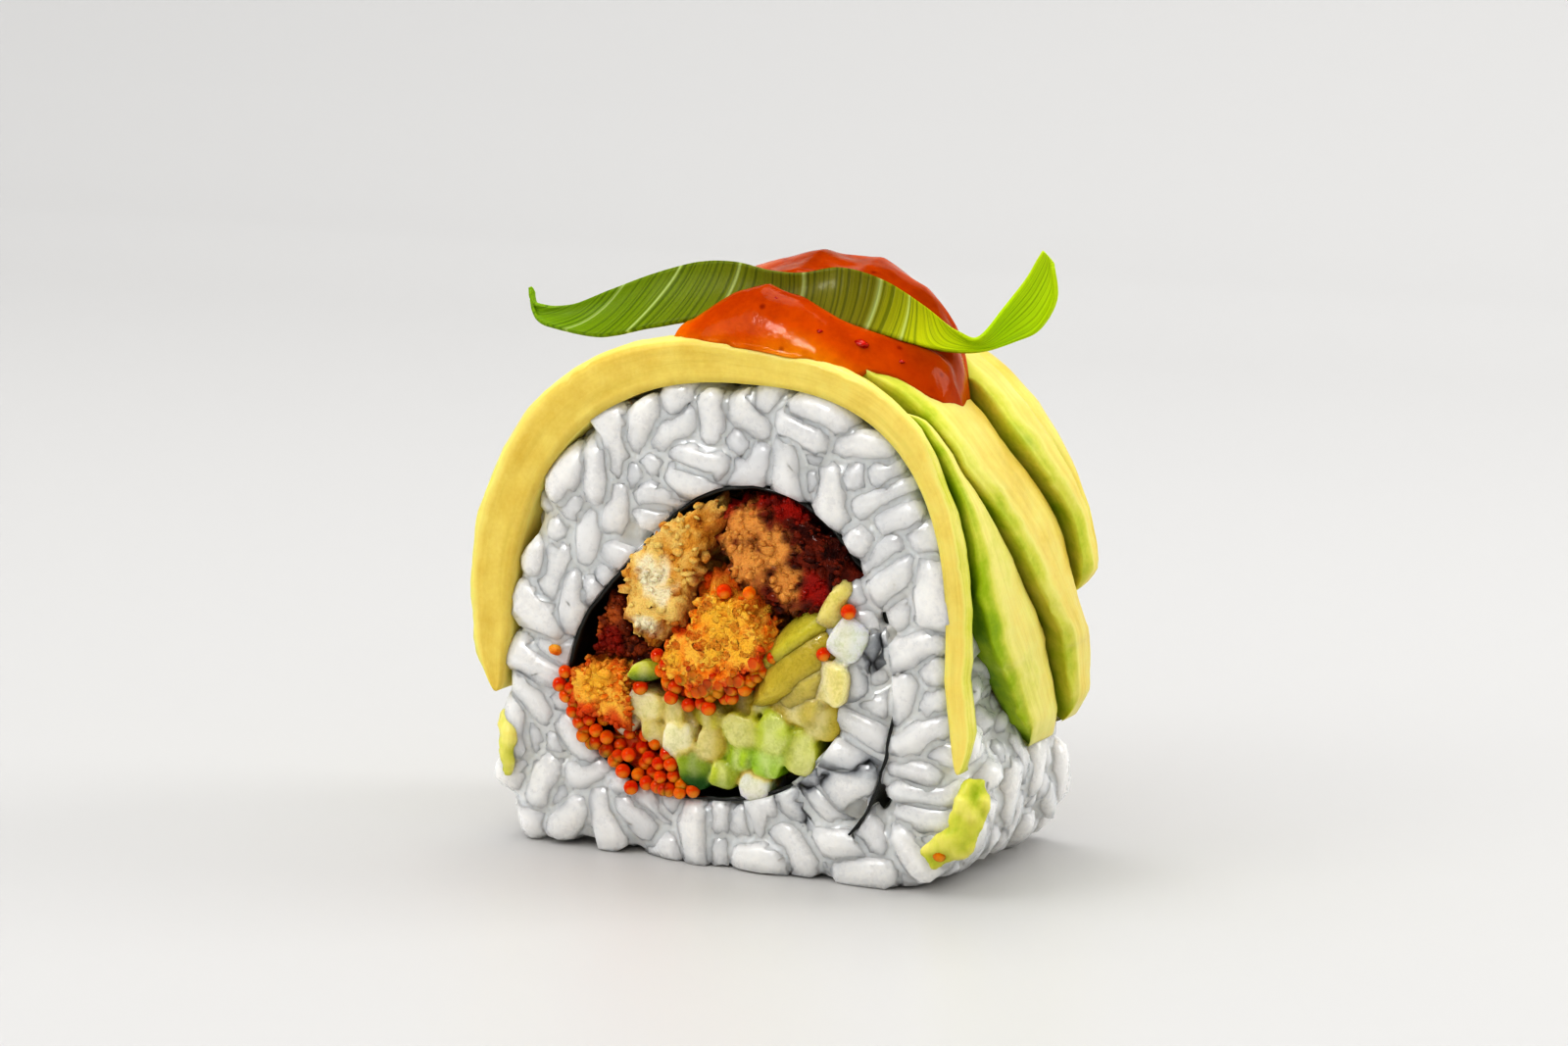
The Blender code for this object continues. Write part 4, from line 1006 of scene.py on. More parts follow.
# The cucumber
# Raw cucumber cut into thin square strips that run through the roll, with a few bits of dark skin. The
# strips lie loosely packed under the batter, wet and translucent; some lean up to the right.
# Each strip's X and Z, side, turn, how far its end stands out, its tone from cream to lime and its share of
# skin; lengths are in millimetres.
STRIPS = (
    (-7.6, 14.7, 2.7, 0.3, 0.6, 0.16, 0),
    (-4.8, 14.2, 2.5, 0.1, 0.3, 0.34, 0),
    (-6.7, 11.8, 2.5, 0.5, 0.1, 0.22, 0),
    (-4.1, 11.7, 2.9, 0.2, 0.7, 0.10, 0),
    (-0.9, 11.6, 2.8, 0.0, 0.3, 0.42, 0),
    (-1.3, 14.3, 2.6, 0.3, 0.2, 0.50, 0),
    (2.4, 13.2, 3.1, 0.1, 0.5, 0.55, 0),
    (-9.9, 12.6, 2.3, 0.4, 0.0, 0.12, 0),
    (-2.6, 8.9, 2.9, 0.05, 0.5, 0.72, 1),
    (0.4, 8.7, 2.4, 0.2, 0.2, 0.62, 0.35),
    (3.5, 8.0, 2.6, 0.1, 0.0, 0.02, 0),
    (1.8, 10.7, 2.4, 0.4, 0.1, 0.80, 0.15),
    (4.9, 10.5, 2.8, 0.2, 0.4, 0.92, 0.1),
    (5.6, 13.2, 3.3, 0.5, 0.7, 0.66, 0),
    (8.4, 11.7, 3.4, 0.1, 0.4, 0.60, 0),
    (7.9, 16.0, 3.5, 0.2, 0.6, 0.36, 0),
    (10.7, 14.9, 3.3, 0.4, 0.3, 0.46, 0),
    (11.4, 18.9, 4.0, 0.3, 1.1, 0.16, 0),
    (13.5, 22.8, 3.5, 0.6, 0.9, 0.0, 0),
    (5.0, 16.2, 2.6, 0.2, -0.5, 0.52, 0),
    (1.8, 16.0, 2.6, 0.1, -0.8, 0.48, 0),
    (8.4, 19.2, 2.7, 0.3, -0.9, 0.50, 0),
    (-7.5, 17.7, 2.0, 0.2, 0.7, 0.60, 0.9),
)
STRIP_VOXEL = 0.27 * MM
STRIP_PLUMPNESS = 1.08
BUNDLE_INSET = 1.0 * MM
TONE_ROUNDS = 4
# Each leaning strip's path, side and tone
LEANING = (
    (
        ((3.4, -8.4, 15.6), (5.8, -11.2, 17.8), (8.6, -11.5, 20.2), (11.2, -10.5, 22.4), (12.6, -7.0, 23.4)),
        3.7,
        0.44,
    ),
    (
        ((5.2, -8.4, 14.4), (8.0, -11.4, 16.9), (10.5, -11.2, 18.9), (12.2, -9.6, 20.4), (12.8, -6.0, 21.4)),
        3.2,
        0.36,
    ),
    (
        ((2.4, -9.0, 17.0), (5.6, -10.9, 20.0), (8.6, -11.1, 22.9), (11.0, -10.2, 24.9), (12.6, -7.0, 25.8)),
        3.3,
        0.50,
    ),
    (((10.9, -11.8, 23.8), (11.9, -12.4, 25.2), (12.6, -12.3, 26.8), (12.7, -11.2, 27.8)), 1.9, 0.24),
)


def tube(name, rings, marks, finish):
    """A closed body from rings of points, all with the same count, and its attributes ring by ring."""
    rings = np.asarray(rings)
    count, around = rings.shape[:2]
    index = np.arange(count * around).reshape(count, around)
    beside = np.roll(index, -1, axis=1)
    faces = np.stack([index[:-1], beside[:-1], beside[1:], index[1:]], axis=-1).reshape(-1, 4).tolist()
    faces += [index[0, ::-1].tolist(), index[-1].tolist()]
    return piece_from(name, rings.reshape(-1, 3), faces, {k: np.ravel(v) for k, v in marks.items()}, finish)


def through(corners, share):
    """A point of the smooth line through the corners, at a share of the way along them."""
    place = min(share * (len(corners) - 1), len(corners) - 1 - 1e-9)
    k = int(place)
    t = place - k
    p0, p1, p2, p3 = (corners[min(max(k + j, 0), len(corners) - 1)] for j in (-1, 0, 1, 2))
    square = (2 * p0 - 5 * p1 + 4 * p2 - p3) * t**2
    cube = (3 * p1 - p0 - 3 * p2 + p3) * t**3
    return 0.5 * (2 * p1 + (p2 - p0) * t + square + cube)


def strip_rings(path, side, turn, seed):
    """The rings of one strip along a path: a square with soft corners, rough-cut at both ends."""
    path = np.array(path) * MM
    stations = [0.0, 0.001, 0.004, 0.012, 0.03, *np.linspace(0.08, 0.92, 12), 0.97, 0.988, 0.996, 0.999, 1.0]
    shrink = [0.12, 0.6, 0.84, 0.95, 0.995, *[1.0] * 12, 0.995, 0.95, 0.84, 0.6, 0.12]
    rings = []
    draw = random.Random(seed)
    wide, skew = draw.uniform(0.84, 1.22), draw.uniform(-0.25, 0.25)
    slant = draw.uniform(-0.5, 0.5)
    for share, near in zip(stations, shrink):
        point = Vector(through(path, share))
        ahead = Vector(through(path, min(1, share + 0.01)))
        run = (ahead - Vector(through(path, max(0, share - 0.01)))).normalized()
        across = Vector((0, 0, 1)).cross(run).normalized()
        upward = run.cross(across)
        ring = []
        for j in range(20):
            angle = 2 * math.pi * j / 20
            c, s = math.cos(angle), math.sin(angle)
            reach = side * MM / 2 * near / (abs(c) ** 3.4 + abs(s) ** 3.4) ** (1 / 3.4)
            u, v = c * reach * wide + skew * s * reach, s * reach / wide
            u, v = u * math.cos(turn) - v * math.sin(turn), u * math.sin(turn) + v * math.cos(turn)
            # The knife went through a little aslant.
            ring_point = point + across * u + upward * v + run * slant * u * max(0, 1 - share * 8)
            ring.append(ring_point + Vector((1, 0.5, 1)) * 0.3 * MM * wave(ring_point, 1.6 * MM, seed))
        rings.append(ring)
    return rings


def cucumber_finish():
    """Wet cucumber flesh: cream, olive or lime from strip to strip, glassy, with a dark skin."""
    finish, tree, shader = principled(
        "cucumber_flesh",
        0.24,
        subsurface_weight=1.0,
        subsurface_scale=0.0026,
        coat_weight=0.3,
        coat_roughness=0.08,
        specular_ior_level=0.25,
    )
    shader.inputs["Subsurface Radius"].default_value = (0.9, 1.0, 0.6)
    spots = place_mottle(tree, 800.0, 3600.0, 0.4)
    flesh = ramp(
        tree,
        attribute(tree, "tone"),
        (
            (0.0, paint(226, 230, 220)),
            (0.18, paint(232, 216, 142)),
            (0.45, paint(194, 174, 66)),
            (0.62, paint(192, 200, 72)),
            (1.0, paint(158, 204, 14)),
        ),
    )
    cut = blend_colour(tree, scaled(tree, attribute(tree, "cut"), 0.45), flesh, paint(240, 236, 200))
    colour = blend_colour(tree, attribute(tree, "skin"), cut, paint(36, 92, 18))
    cloudy = ramp(tree, spots.outputs["Mask"], ((0.38, (0.74, 0.76, 0.6)), (0.54, (1, 1, 1))))
    colour = blend_colour(tree, 0.7, colour, cloudy, "MULTIPLY")
    tree.links.new(colour, shader.inputs["Base Color"])
    bump(tree, shader, spots.outputs["Mask"], 0.7, 0.0004)
    return finish


def handed_on(piece, old_points, old_values, rounds):
    """Values of an older mesh at the points of a new one: the nearest one's, then evened out."""
    spots = kdtree.KDTree(len(old_points))
    for k, point in enumerate(old_points):
        spots.insert(point, k)
    spots.balance()
    nearest = [spots.find(v.co)[1] for v in piece.data.vertices]
    edges = np.array([edge.vertices[:] for edge in piece.data.edges])
    met = np.bincount(edges.ravel(), minlength=len(nearest))
    for label, values in old_values.items():
        values = np.asarray(values)[nearest]
        for _ in range(rounds):
            total = np.bincount(edges[:, 0], values[edges[:, 1]], len(values))
            total += np.bincount(edges[:, 1], values[edges[:, 0]], len(values))
            values = (values + total / np.maximum(met, 1)) / 2
        layer = piece.data.attributes.new(label, "FLOAT", "POINT")
        layer.data.foreach_set("value", values.astype(np.float32))


cucumber_flesh = cucumber_finish()
strip_sets = []
for number, (x, z, side, turn, push, tone, skin) in enumerate(STRIPS):
    path = ((x, -12.05 - push, z), (x * 0.99 - 0.1, 0, z), (x * 0.98 - 0.2, 12.3, z))
    strip_sets.append((strip_rings(path, side * STRIP_PLUMPNESS, turn, number), tone, skin))
strip_points, strip_marks = [], {"tone": [], "cut": [], "skin": []}
for number, (rings, tone, skin) in enumerate(strip_sets):
    rings = np.array(rings)
    strip_sets[number] = tube(f"cucumber_strip_{number + 1}", rings, {}, cucumber_flesh)
    low = smooth_step(0.2, -0.6, (rings[..., 2] - rings[..., 2].mean()) / (0.5 * 2.8 * MM))
    strip_points.extend(rings.reshape(-1, 3))
    strip_marks["tone"].extend(np.full(low.size, tone))
    behind_cut = np.abs(rings[..., 1] - rings[0, :, 1].mean())
    strip_marks["cut"].extend(smooth_step(0.25 * MM, 0, behind_cut).ravel())
    strip_marks["skin"].extend((skin * low if skin < 1 else 0.35 + 0.65 * low).ravel())
# The wet strips cling to each other, so they are made one skin whose creases are soft.
cucumber_core = own_copy("cucumber", "cucumber_core")
keep(cucumber_core, "DISPLACE", strength=-BUNDLE_INSET, mid_level=0)
bpy.ops.object.select_all(action="DESELECT")
for strip in [*strip_sets, cucumber_core]:
    strip.select_set(True)
bpy.context.view_layer.objects.active = strip_sets[0]
bpy.ops.object.join()
strips = bpy.context.object
strips.name = "cucumber_strips"
keep(strips, "REMESH", mode="VOXEL", voxel_size=STRIP_VOXEL)
keep(strips, "SMOOTH", factor=0.5, iterations=1)
handed_on(strips, strip_points, strip_marks, TONE_ROUNDS)
strips.data.shade_smooth()
strips.data.materials.clear()
strips.data.materials.append(cucumber_flesh)
put(strips, "cucumber", slot="cucumber")
for number, (path, side, tone) in enumerate(LEANING):
    rings = strip_rings(path, side, 0.35 * number, 40 + number)
    marks = {"tone": np.full(len(rings) * len(rings[0]), tone)}
    put(tube(f"leaning_strip_{number + 1}", rings, marks, cucumber_flesh), "cucumber", slot="cucumber")

# The roe
# Flying-fish roe, beads about a millimetre and a half across, glassy and orange-red. They lie in a heap
# at the lower left of the seaweed and stick to the batter above it; a few have rolled onto the rice.
EGG_RADIUS = 0.68 * MM
EGG_APART = 1.18
FRONT_EGGS = (
    ((-16.1, 16.8), (-15.9, 14.6), (-15.2, 13.2), (-13.7, 14.0), (-12.6, 13.8), (-13.5, 12.6))
    + ((-12.8, 11.6), (-13.0, 10.4), (-11.8, 9.8), (-10.5, 9.4), (-9.3, 9.7), (-7.3, 9.6))
    + ((-6.2, 9.2), (-5.3, 10.2), (-4.8, 9.3), (-5.9, 8.0), (-4.6, 8.2), (-5.5, 6.9))
    + ((-3.9, 7.5), (-14.5, 12.2), (-14.1, 11.0), (-11.8, 11.0), (-8.0, 16.2))
)
RIM_EGGS = (
    ((-5.7, 18.2), (-5.0, 17.0), (-4.3, 15.5), (-2.9, 15.3), (-1.6, 15.2), (-0.3, 15.4))
    + ((0.2, 16.5), (0.8, 17.4), (-2.3, 16.2), (1.8, 16.5), (3.0, 17.2), (3.6, 18.3))
    + ((2.2, 17.9), (4.9, 18.9), (3.9, 26.1), (1.1, 26.2), (-0.6, 16.6), (1.2, 15.9))
    + ((-3.8, 16.6), (1.3, 18.8), (-1.8, 17.2), (2.5, 18.9), (-5.9, 19.4), (5.7, 20.2))
)
LOOSE_EGGS = (
    ((-8.9, -12.7, 6.7), (11.1, -12.85, 21.3), (22.8, -12.85, 4.3), (13.6, -12.8, 25.4))
    + ((-16.6, -12.5, 15.6),)
)
SUNK_EGGS = 26
HEAP_TRIES = 2600
HEAP_MIDDLE = (-0.5, 19.2)
HEAP_REACH = 13.1
HEAP_OVAL = 1.0
HEAP_TOP = 12.6
HEAP_SLOPE = 0.55
HEAP_BEND = -9.5
HEAP_INSET = 0.6 * MM
EGG_KINDS = 3
HEAP_ROWS = (-11.6, -10.6, 11.2, 12.0)


def egg_shape(seed):
    """One egg, slightly dented."""
    bpy.ops.mesh.primitive_uv_sphere_add(segments=20, ring_count=12, radius=EGG_RADIUS)
    shape = bpy.context.object
    for v in shape.data.vertices:
        v.co *= 1 + 0.07 * noise.noise(v.co / MM * 1.2 + Vector((seed * 4.7, 0, 0)))
    return mesh_arrays(shape)


def roe_finish():
    """A glassy bead: deep orange inside, lighter where the light passes through its rim."""
    finish, tree, shader = principled(
        "roe_bead",
        0.08,
        subsurface_weight=0.7,
        subsurface_scale=0.0012,
        transmission_weight=0.2,
        ior=1.36,
        coat_weight=0.35,
        coat_roughness=0.03,
        specular_ior_level=0.2,
    )
    shader.inputs["Subsurface Radius"].default_value = (1.0, 0.32, 0.05)
    rim = add_node(tree, "ShaderNodeLayerWeight", values={"Blend": 0.45})
    oranges = ((0.0, paint(214, 40, 0)), (0.6, paint(244, 84, 0)), (1.0, paint(254, 138, 6)))
    deep = ramp(tree, attribute(tree, "tone"), oranges)
    spots = place_mottle(tree, 900.0, 3000.0, 0.3)
    shade = ramp(tree, spots.outputs["Mask"], ((0.38, (0.72, 0.5, 0.4)), (0.56, (1, 1, 1))))
    colour = blend_colour(tree, 0.6, deep, shade, "MULTIPLY")
    colour = blend_colour(tree, scaled(tree, rim.outputs["Facing"], 0.35), colour, paint(255, 150, 60))
    # Light gathers on the side away from the lamps, as in a drop of oil.
    surface = add_node(tree, "ShaderNodeNewGeometry")
    facing = add_node(tree, "ShaderNodeVectorMath", operation="DOT_PRODUCT")
    tree.links.new(surface.outputs["Normal"], facing.inputs[0])
    facing.inputs[1].default_value = (0.50, -0.70, -0.50)
    bright_spot = {"From Min": 0.62, "From Max": 1.0, "To Max": 0.85}
    gathered = add_node(tree, "ShaderNodeMapRange", values=bright_spot)
    tree.links.new(facing.outputs["Value"], gathered.inputs["Value"])
    colour = blend_colour(tree, gathered.outputs["Result"], colour, paint(255, 172, 44))
    tree.links.new(colour, shader.inputs["Base Color"])
    bump(tree, shader, spots.outputs["Height"], 0.12, 0.0002)
    return finish


def scatter(name, shapes, placings, finish, tones):
    """Many copies joined into one mesh. A placing is the number of a shape, a 3x3 turn and a place."""
    points, faces, tone, start = [], [], [], 0
    for (which, turn, spot), shade in zip(placings, tones):
        shape_points, shape_faces = shapes[which]
        points.append(shape_points @ np.array(turn).T + np.array(spot))
        faces.extend([i + start for i in face] for face in shape_faces)
        tone.append(np.full(len(shape_points), shade))
        start += len(shape_points)
    mesh = bpy.data.meshes.new(name)
    mesh.from_pydata(np.concatenate(points).tolist(), [], faces)
    layer = mesh.attributes.new("tone", "FLOAT", "POINT")
    layer.data.foreach_set("value", np.concatenate(tone).astype(np.float32))
    mesh.shade_smooth()
    mesh.materials.append(finish)
    piece = bpy.data.objects.new(name, mesh)
    bpy.context.scene.collection.objects.link(piece)
    return piece


egg_shapes = [egg_shape(seed) for seed in range(EGG_KINDS)]
egg_draw = random.Random(17)
egg_spots = [(x, -12.0 - egg_draw.uniform(0.1, 0.55), z) for x, z in FRONT_EGGS]
for x, z in RIM_EGGS:
    x, y = x + egg_draw.uniform(-0.35, 0.35), egg_draw.uniform(-13.1, -12.5)
    egg_spots.append((x, y, z + egg_draw.uniform(-0.3, 0.3)))
for _ in range(SUNK_EGGS):
    # Eggs sunk in the lower edge of the golden batter
    x, y = egg_draw.uniform(-5.6, 4.4), egg_draw.uniform(-13.2, -12.7)
    egg_spots.append((x, y, 16.2 + 0.09 * x**2 + egg_draw.uniform(0, 2.2)))
egg_spots.extend(LOOSE_EGGS)
for spot in nori_line(406)[100:168:5] / MM:
    # A row of eggs lies over the edge of the seaweed.
    inward = egg_draw.uniform(0.2, 0.9) / 14
    x, z = spot + (NORI_CENTRE / MM - spot) * inward
    egg_spots.append((x, egg_draw.uniform(-12.5, -12.0), z))
for _ in range(HEAP_TRIES):
    # The rest of the heap fills the corner of the seaweed, seen from both faces.
    x, z = egg_draw.uniform(-14.6, -3.6), egg_draw.uniform(6.6, 12.8)
    y = egg_draw.choice(HEAP_ROWS) + egg_draw.uniform(-0.2, 0.2)
    across, down = x - HEAP_MIDDLE[0], z - HEAP_MIDDLE[1]
    reach = HEAP_REACH + HEAP_OVAL * math.cos(2 * (math.atan2(down, across) - NORI_OVAL_ANGLE))
    if np.hypot(across, down) > reach or z >= HEAP_TOP - HEAP_SLOPE * max(0.0, x - HEAP_BEND):
        # Outside the seaweed, or above the heap's sloping top
        continue
    if all((x - a) ** 2 + (y - b) ** 2 + (z - c) ** 2 > EGG_APART**2 for a, b, c in egg_spots):
        egg_spots.append((x, y, z))
egg_placings, egg_tones = [], []
for spot in egg_spots:
    turn = any_turn(egg_draw)
    size = egg_draw.uniform(0.92, 1.08)
    turn = turn @ Matrix.Diagonal((size, size, size))
    egg_placings.append((egg_draw.randrange(len(egg_shapes)), turn, Vector(spot) * MM))
    egg_tones.append(egg_draw.random())
roe_bead = roe_finish()
eggs = scatter("roe_eggs", egg_shapes, egg_placings, roe_bead, egg_tones)
put(eggs, "roe", slot="roe")
roe_core = own_copy("roe", "roe_core")
keep(roe_core, "DISPLACE", strength=-HEAP_INSET, mid_level=0)
roe_core.data.materials.append(roe_bead)
put(roe_core, "roe", slot="roe")

# The avocado
# Ripe avocado cut into long thin slices that are fanned over the rice, each one half under the next.
# They cling by their own fat; the cut flesh is butter-yellow and turns lime green towards the skin side.
AVOCADO_LIFT = 0.35 * MM
SEAM_GAP = 0.3 * MM
SEAM_LEAN = 0.45
CUT_FRONT = ((-48, -12.2), (48, -12.2))
CUT_BACK = ((-48, 12.3), (48, 12.3))
SEAM_FIRST = ((-46, -3.5), (-10, -3.5), (3, -7.0), (9, -9.4), (14, -10.3), (48, -10.4))
SEAM_SECOND = ((12, -10.3), (27, -10.3), (30, -10.2), (34, -8.5), (41.7, -2.4), (47, 1.5))
SEAM_THIRD = (
    ((-46, -3.5), (-10, -3.5), (3, -7.0), (9, -9.4), (14, -8.8), (20, -8.0), (25.5, -3.5), (30.8, 0.7))
    + ((35.5, 5.0), (43, 7.7), (48, 8.2))
)
SEAM_FOURTH = (
    ((-46, 4.5), (-10, 4.5), (5, 4.0), (15, 2.8), (18, 2.4), (21, 4.0), (25.8, 7.8), (31.8, 9.5), (34, 10.4))
    + ((37, 12.3), (48, 12.3))
)
SLICES = {
    "avocado_front": (
        (-46, 45.6, CUT_FRONT, SEAM_FIRST),
        ((-46, 2.0), (-41.8, 4.1), (-36, 5.0), (-32, 5.3), (-20.6, 5.3), (-15, 5.0), (-10, 4.6), (-4, 4.0))
        + ((3.5, 3.1), (16, 2.9), (20.8, 2.2), (33, 2.3), (42, 2.3), (46, 1.2)),
    ),
    "avocado_second": (
        (13, 46, SEAM_SECOND, SEAM_THIRD),
        ((13, 2.9), (20, 3.0), (36, 3.4), (46, 2.0)),
    ),
    "avocado_third": (
        (-43, 45, SEAM_THIRD, SEAM_FOURTH),
        ((-43, 2.4), (-30, 4.0), (-10, 4.2), (5, 3.9), (14, 3.4), (26, 3.8), (36, 4.6), (45, 3.2)),
    ),
    "avocado_fourth": (
        (-40, 33, SEAM_FOURTH, CUT_BACK),
        ((-40, 2.4), (-26, 4.2), (0, 4.4), (14, 4.2), (33, 4.9)),
    ),
}
# The height of a slice at shares of the way across it
ACROSS = (0.0, 0.12, 0.42, 0.70, 0.90, 1.0)
HEIGHT_ACROSS = (0.88, 1.0, 0.99, 0.90, 0.72, 0.48)
# Places round the cross-section of a slice, as shares of the way across and up
SECTION_WALK = (
    [(0.0, up) for up in (0.0, 0.2, 0.4, 0.6, 0.78, 0.9)]
    + [(share, 1.0) for share in (0.01, 0.03, 0.06, 0.1, 0.16, 0.24, 0.34, 0.4, 0.45, 0.5)]
    + [(share, 1.0) for share in (0.55, 0.62, 0.7, 0.8, 0.88, 0.94, 0.98, 1.0)]
    + [(1.0, up) for up in (0.8, 0.5, 0.25, 0.0)]
    + [(share, 0.0) for share in (0.8, 0.55, 0.3, 0.12)]
)


def avocado_finish():
    """Avocado flesh: yellow to lime by the attribute called green, buttery, with streaks of the knife."""
    finish, tree, shader = principled(
        "avocado_flesh",
        0.42,
        subsurface_weight=0.35,
        subsurface_scale=0.0018,
        coat_weight=0.1,
        coat_roughness=0.2,
        specular_ior_level=0.2,
    )
    shader.inputs["Subsurface Radius"].default_value = (1.0, 0.8, 0.25)
    spots = place_mottle(tree, 320.0, 2600.0, 0.25)
    where = add_node(tree, "ShaderNodeCombineXYZ")
    tree.links.new(scaled(tree, attribute(tree, "along"), 26.0), where.inputs["X"])
    tree.links.new(scaled(tree, attribute(tree, "across"), 460.0), where.inputs["Y"])
    streaks = add_node(tree, "ShaderNodeTexNoise", values={"Scale": 3.0, "Detail": 4.0, "Roughness": 0.6})
    tree.links.new(where.outputs["Vector"], streaks.inputs["Vector"])
    blotches = {"From Min": 0.3, "From Max": 0.7, "To Min": -0.1, "To Max": 0.1}
    shift = add_node(tree, "ShaderNodeMapRange", values=blotches)
    tree.links.new(spots.outputs["Mask"], shift.inputs["Value"])
    green = add_node(tree, "ShaderNodeMath", operation="ADD")
    tree.links.new(attribute(tree, "green"), green.inputs[0])
    tree.links.new(shift.outputs["Result"], green.inputs[1])
    flesh = ramp(
        tree,
        green.outputs[0],
        (
            (0.0, paint(214, 184, 84)),
            (0.22, paint(230, 210, 116)),
            (0.42, paint(230, 222, 132)),
            (0.62, paint(208, 208, 88)),
            (0.82, paint(160, 182, 24)),
            (1.0, paint(112, 146, 4)),
        ),
    )
    streak_shade = ramp(tree, streaks.outputs["Fac"], ((0.34, (0.86, 0.84, 0.7)), (0.55, (1, 1, 1))))
    colour = blend_colour(tree, 0.55, flesh, streak_shade, "MULTIPLY")
    tree.links.new(colour, shader.inputs["Base Color"])
    relief = blend_colour(tree, 0.5, streaks.outputs["Fac"], spots.outputs["Mask"])
    bump(tree, shader, relief, 0.35, 0.0003)
    return finish


def slice_section(length, left, right, front, back, thickness):
    """The cross-section of a slice at a length of the arch, as Y, height, share across and share up."""
    end = min(length - left, right - length)
    tall = np.interp(length, *zip(*thickness)) * (0.45 + 0.55 * smooth_step(-1, 3, end))
    start, stop = np.interp(length, *zip(*front)), np.interp(length, *zip(*back))
    tuck = 0.14 * (stop - start) * (1 - smooth_step(0, 3, end))
    found = []
    for share, up in SECTION_WALK:
        y = start + (stop - start) * share
        height = tall * up * np.interp(share, ACROSS, HEIGHT_ACROSS)
        front_side = smooth_step(0.12, 0, share)
        back_side = smooth_step(0.9, 1, share)
        if front is not CUT_FRONT:
            y += front_side * (SEAM_GAP / MM / 2 + tuck + SEAM_LEAN * (2 - height))
        if back is not CUT_BACK:
            y -= back_side * (SEAM_GAP / MM / 2 - SEAM_LEAN * (2 - height))
        y -= back_side * tuck
        found.append((y, height, share, up))
    return found


def green_of(name, length, share, up, seed_point):
    """How green the flesh is: yellow where the knife went through, lime at the skin side."""
    blotch = 0.16 * wave(seed_point, 3.6 * MM, 2) + 0.06 * wave(seed_point, 1.2 * MM, 4)
    if name == "avocado_front":
        cut_side = 0.10 + 0.12 * smooth_step(-20, 20, length)
        far_down = abs(length + 2) if length > 0 else -length
        outer = 0.62 * smooth_step(0.80, 1.0, up) * smooth_step(16, 26, far_down)
        surface = 0.34 + smooth_step(8, 22, length) * (0.20 + 0.30 * smooth_step(0.25, 1.0, share))
        on_top = smooth_step(0.0, 0.06, share)
        cut = (cut_side + 0.6 * outer * (1 - on_top)) * (1 - on_top)
        return cut + surface * on_top + blotch * (0.3 + 0.7 * on_top)
    wall = 1 - up if share < 0.01 else 0
    base = {"avocado_second": 0.42, "avocado_third": 0.26, "avocado_fourth": 0.28}[name]
    edge = smooth_step(0.22, 0.04, share)
    if name == "avocado_fourth":
        # A fourth cut runs along the back of this slice as a fine step.
        edge = max(edge, 0.8 * smooth_step(0.08, 0.0, abs(share - 0.5)))
    green = base + 0.36 * edge + 0.22 * wall - 0.16 * smooth_step(0.45, 0.95, share)
    return green + blotch


def avocado_piece(name, finish):
    """One slice laid over the rice: a long loft along the arch, nicked at its edges."""
    (left, right, front, back), thickness = SLICES[name]
    near_end = np.array((0, 0.25, 0.6, 1.1))
    between = np.arange(left + 1.8, right - 1.6, 0.62)
    lengths = np.concatenate([left + near_end, between, right - near_end[::-1]])
    base = on_arch(lengths * MM)
    outward = out_of_arch(lengths * MM)
    rings, along, across, green = [], [], [], []
    for k, length in enumerate(lengths):
        section = slice_section(length, left, right, front, back, thickness)
        end = min(length - left, right - length)
        pinch = math.sqrt(max(0.0, 1 - max(0.0, 1 - end / 1.3) ** 2)) if end < 1.3 else 1
        middle_height = max(h for _, h, _, _ in section) / 2
        ring, row = [], []
        for y, height, share, up in section:
            height = middle_height + (height - middle_height) * (0.35 + 0.65 * pinch)
            spot = base[k] + outward[k] * (AVOCADO_LIFT + height * MM)
            point = np.array((spot[0], y * MM, spot[1]))
            nick = wave(point, 2.6 * MM, 8) * 0.16 + wave(point, 0.9 * MM, 6) * 0.05
            edge = smooth_step(0.16, 0.0, share) * smooth_step(0.5, 0.9, up)
            sunk = max(0.0, wave(point, 1.5 * MM, 12) - 0.25) * 0.9 * edge
            step = 0.8 * smooth_step(0.09, 0.0, abs(share - 0.5)) * (name == "avocado_fourth") * (up > 0.9)
            lift = (nick * (0.4 + 0.6 * up) - sunk - step) * MM * min(1.0, height / 0.8)
            point += np.array((outward[k][0], 0, outward[k][1])) * lift
            point[1] += 0.10 * MM * wave(point, 1.4 * MM, 15) * (0.3 + 0.7 * up) * (front is CUT_FRONT)
            ring.append(point)
            green.append(green_of(name, length, share, up, point))
            walked = share * 10 + up * 3 if share < 0.5 else share * 10 + (1 - up) * 3
            row.append(walked * MM)
        rings.append(ring)
        along.append([length * MM] * len(ring))
        across.append(row)
    marks = {"along": np.array(along), "across": np.array(across), "green": np.clip(np.array(green), 0, 1)}
    return tube(name + "_slice", rings, marks, finish)


avocado_flesh = avocado_finish()
for name in SLICES:
    put(avocado_piece(name, avocado_flesh), name, slot="avocado")

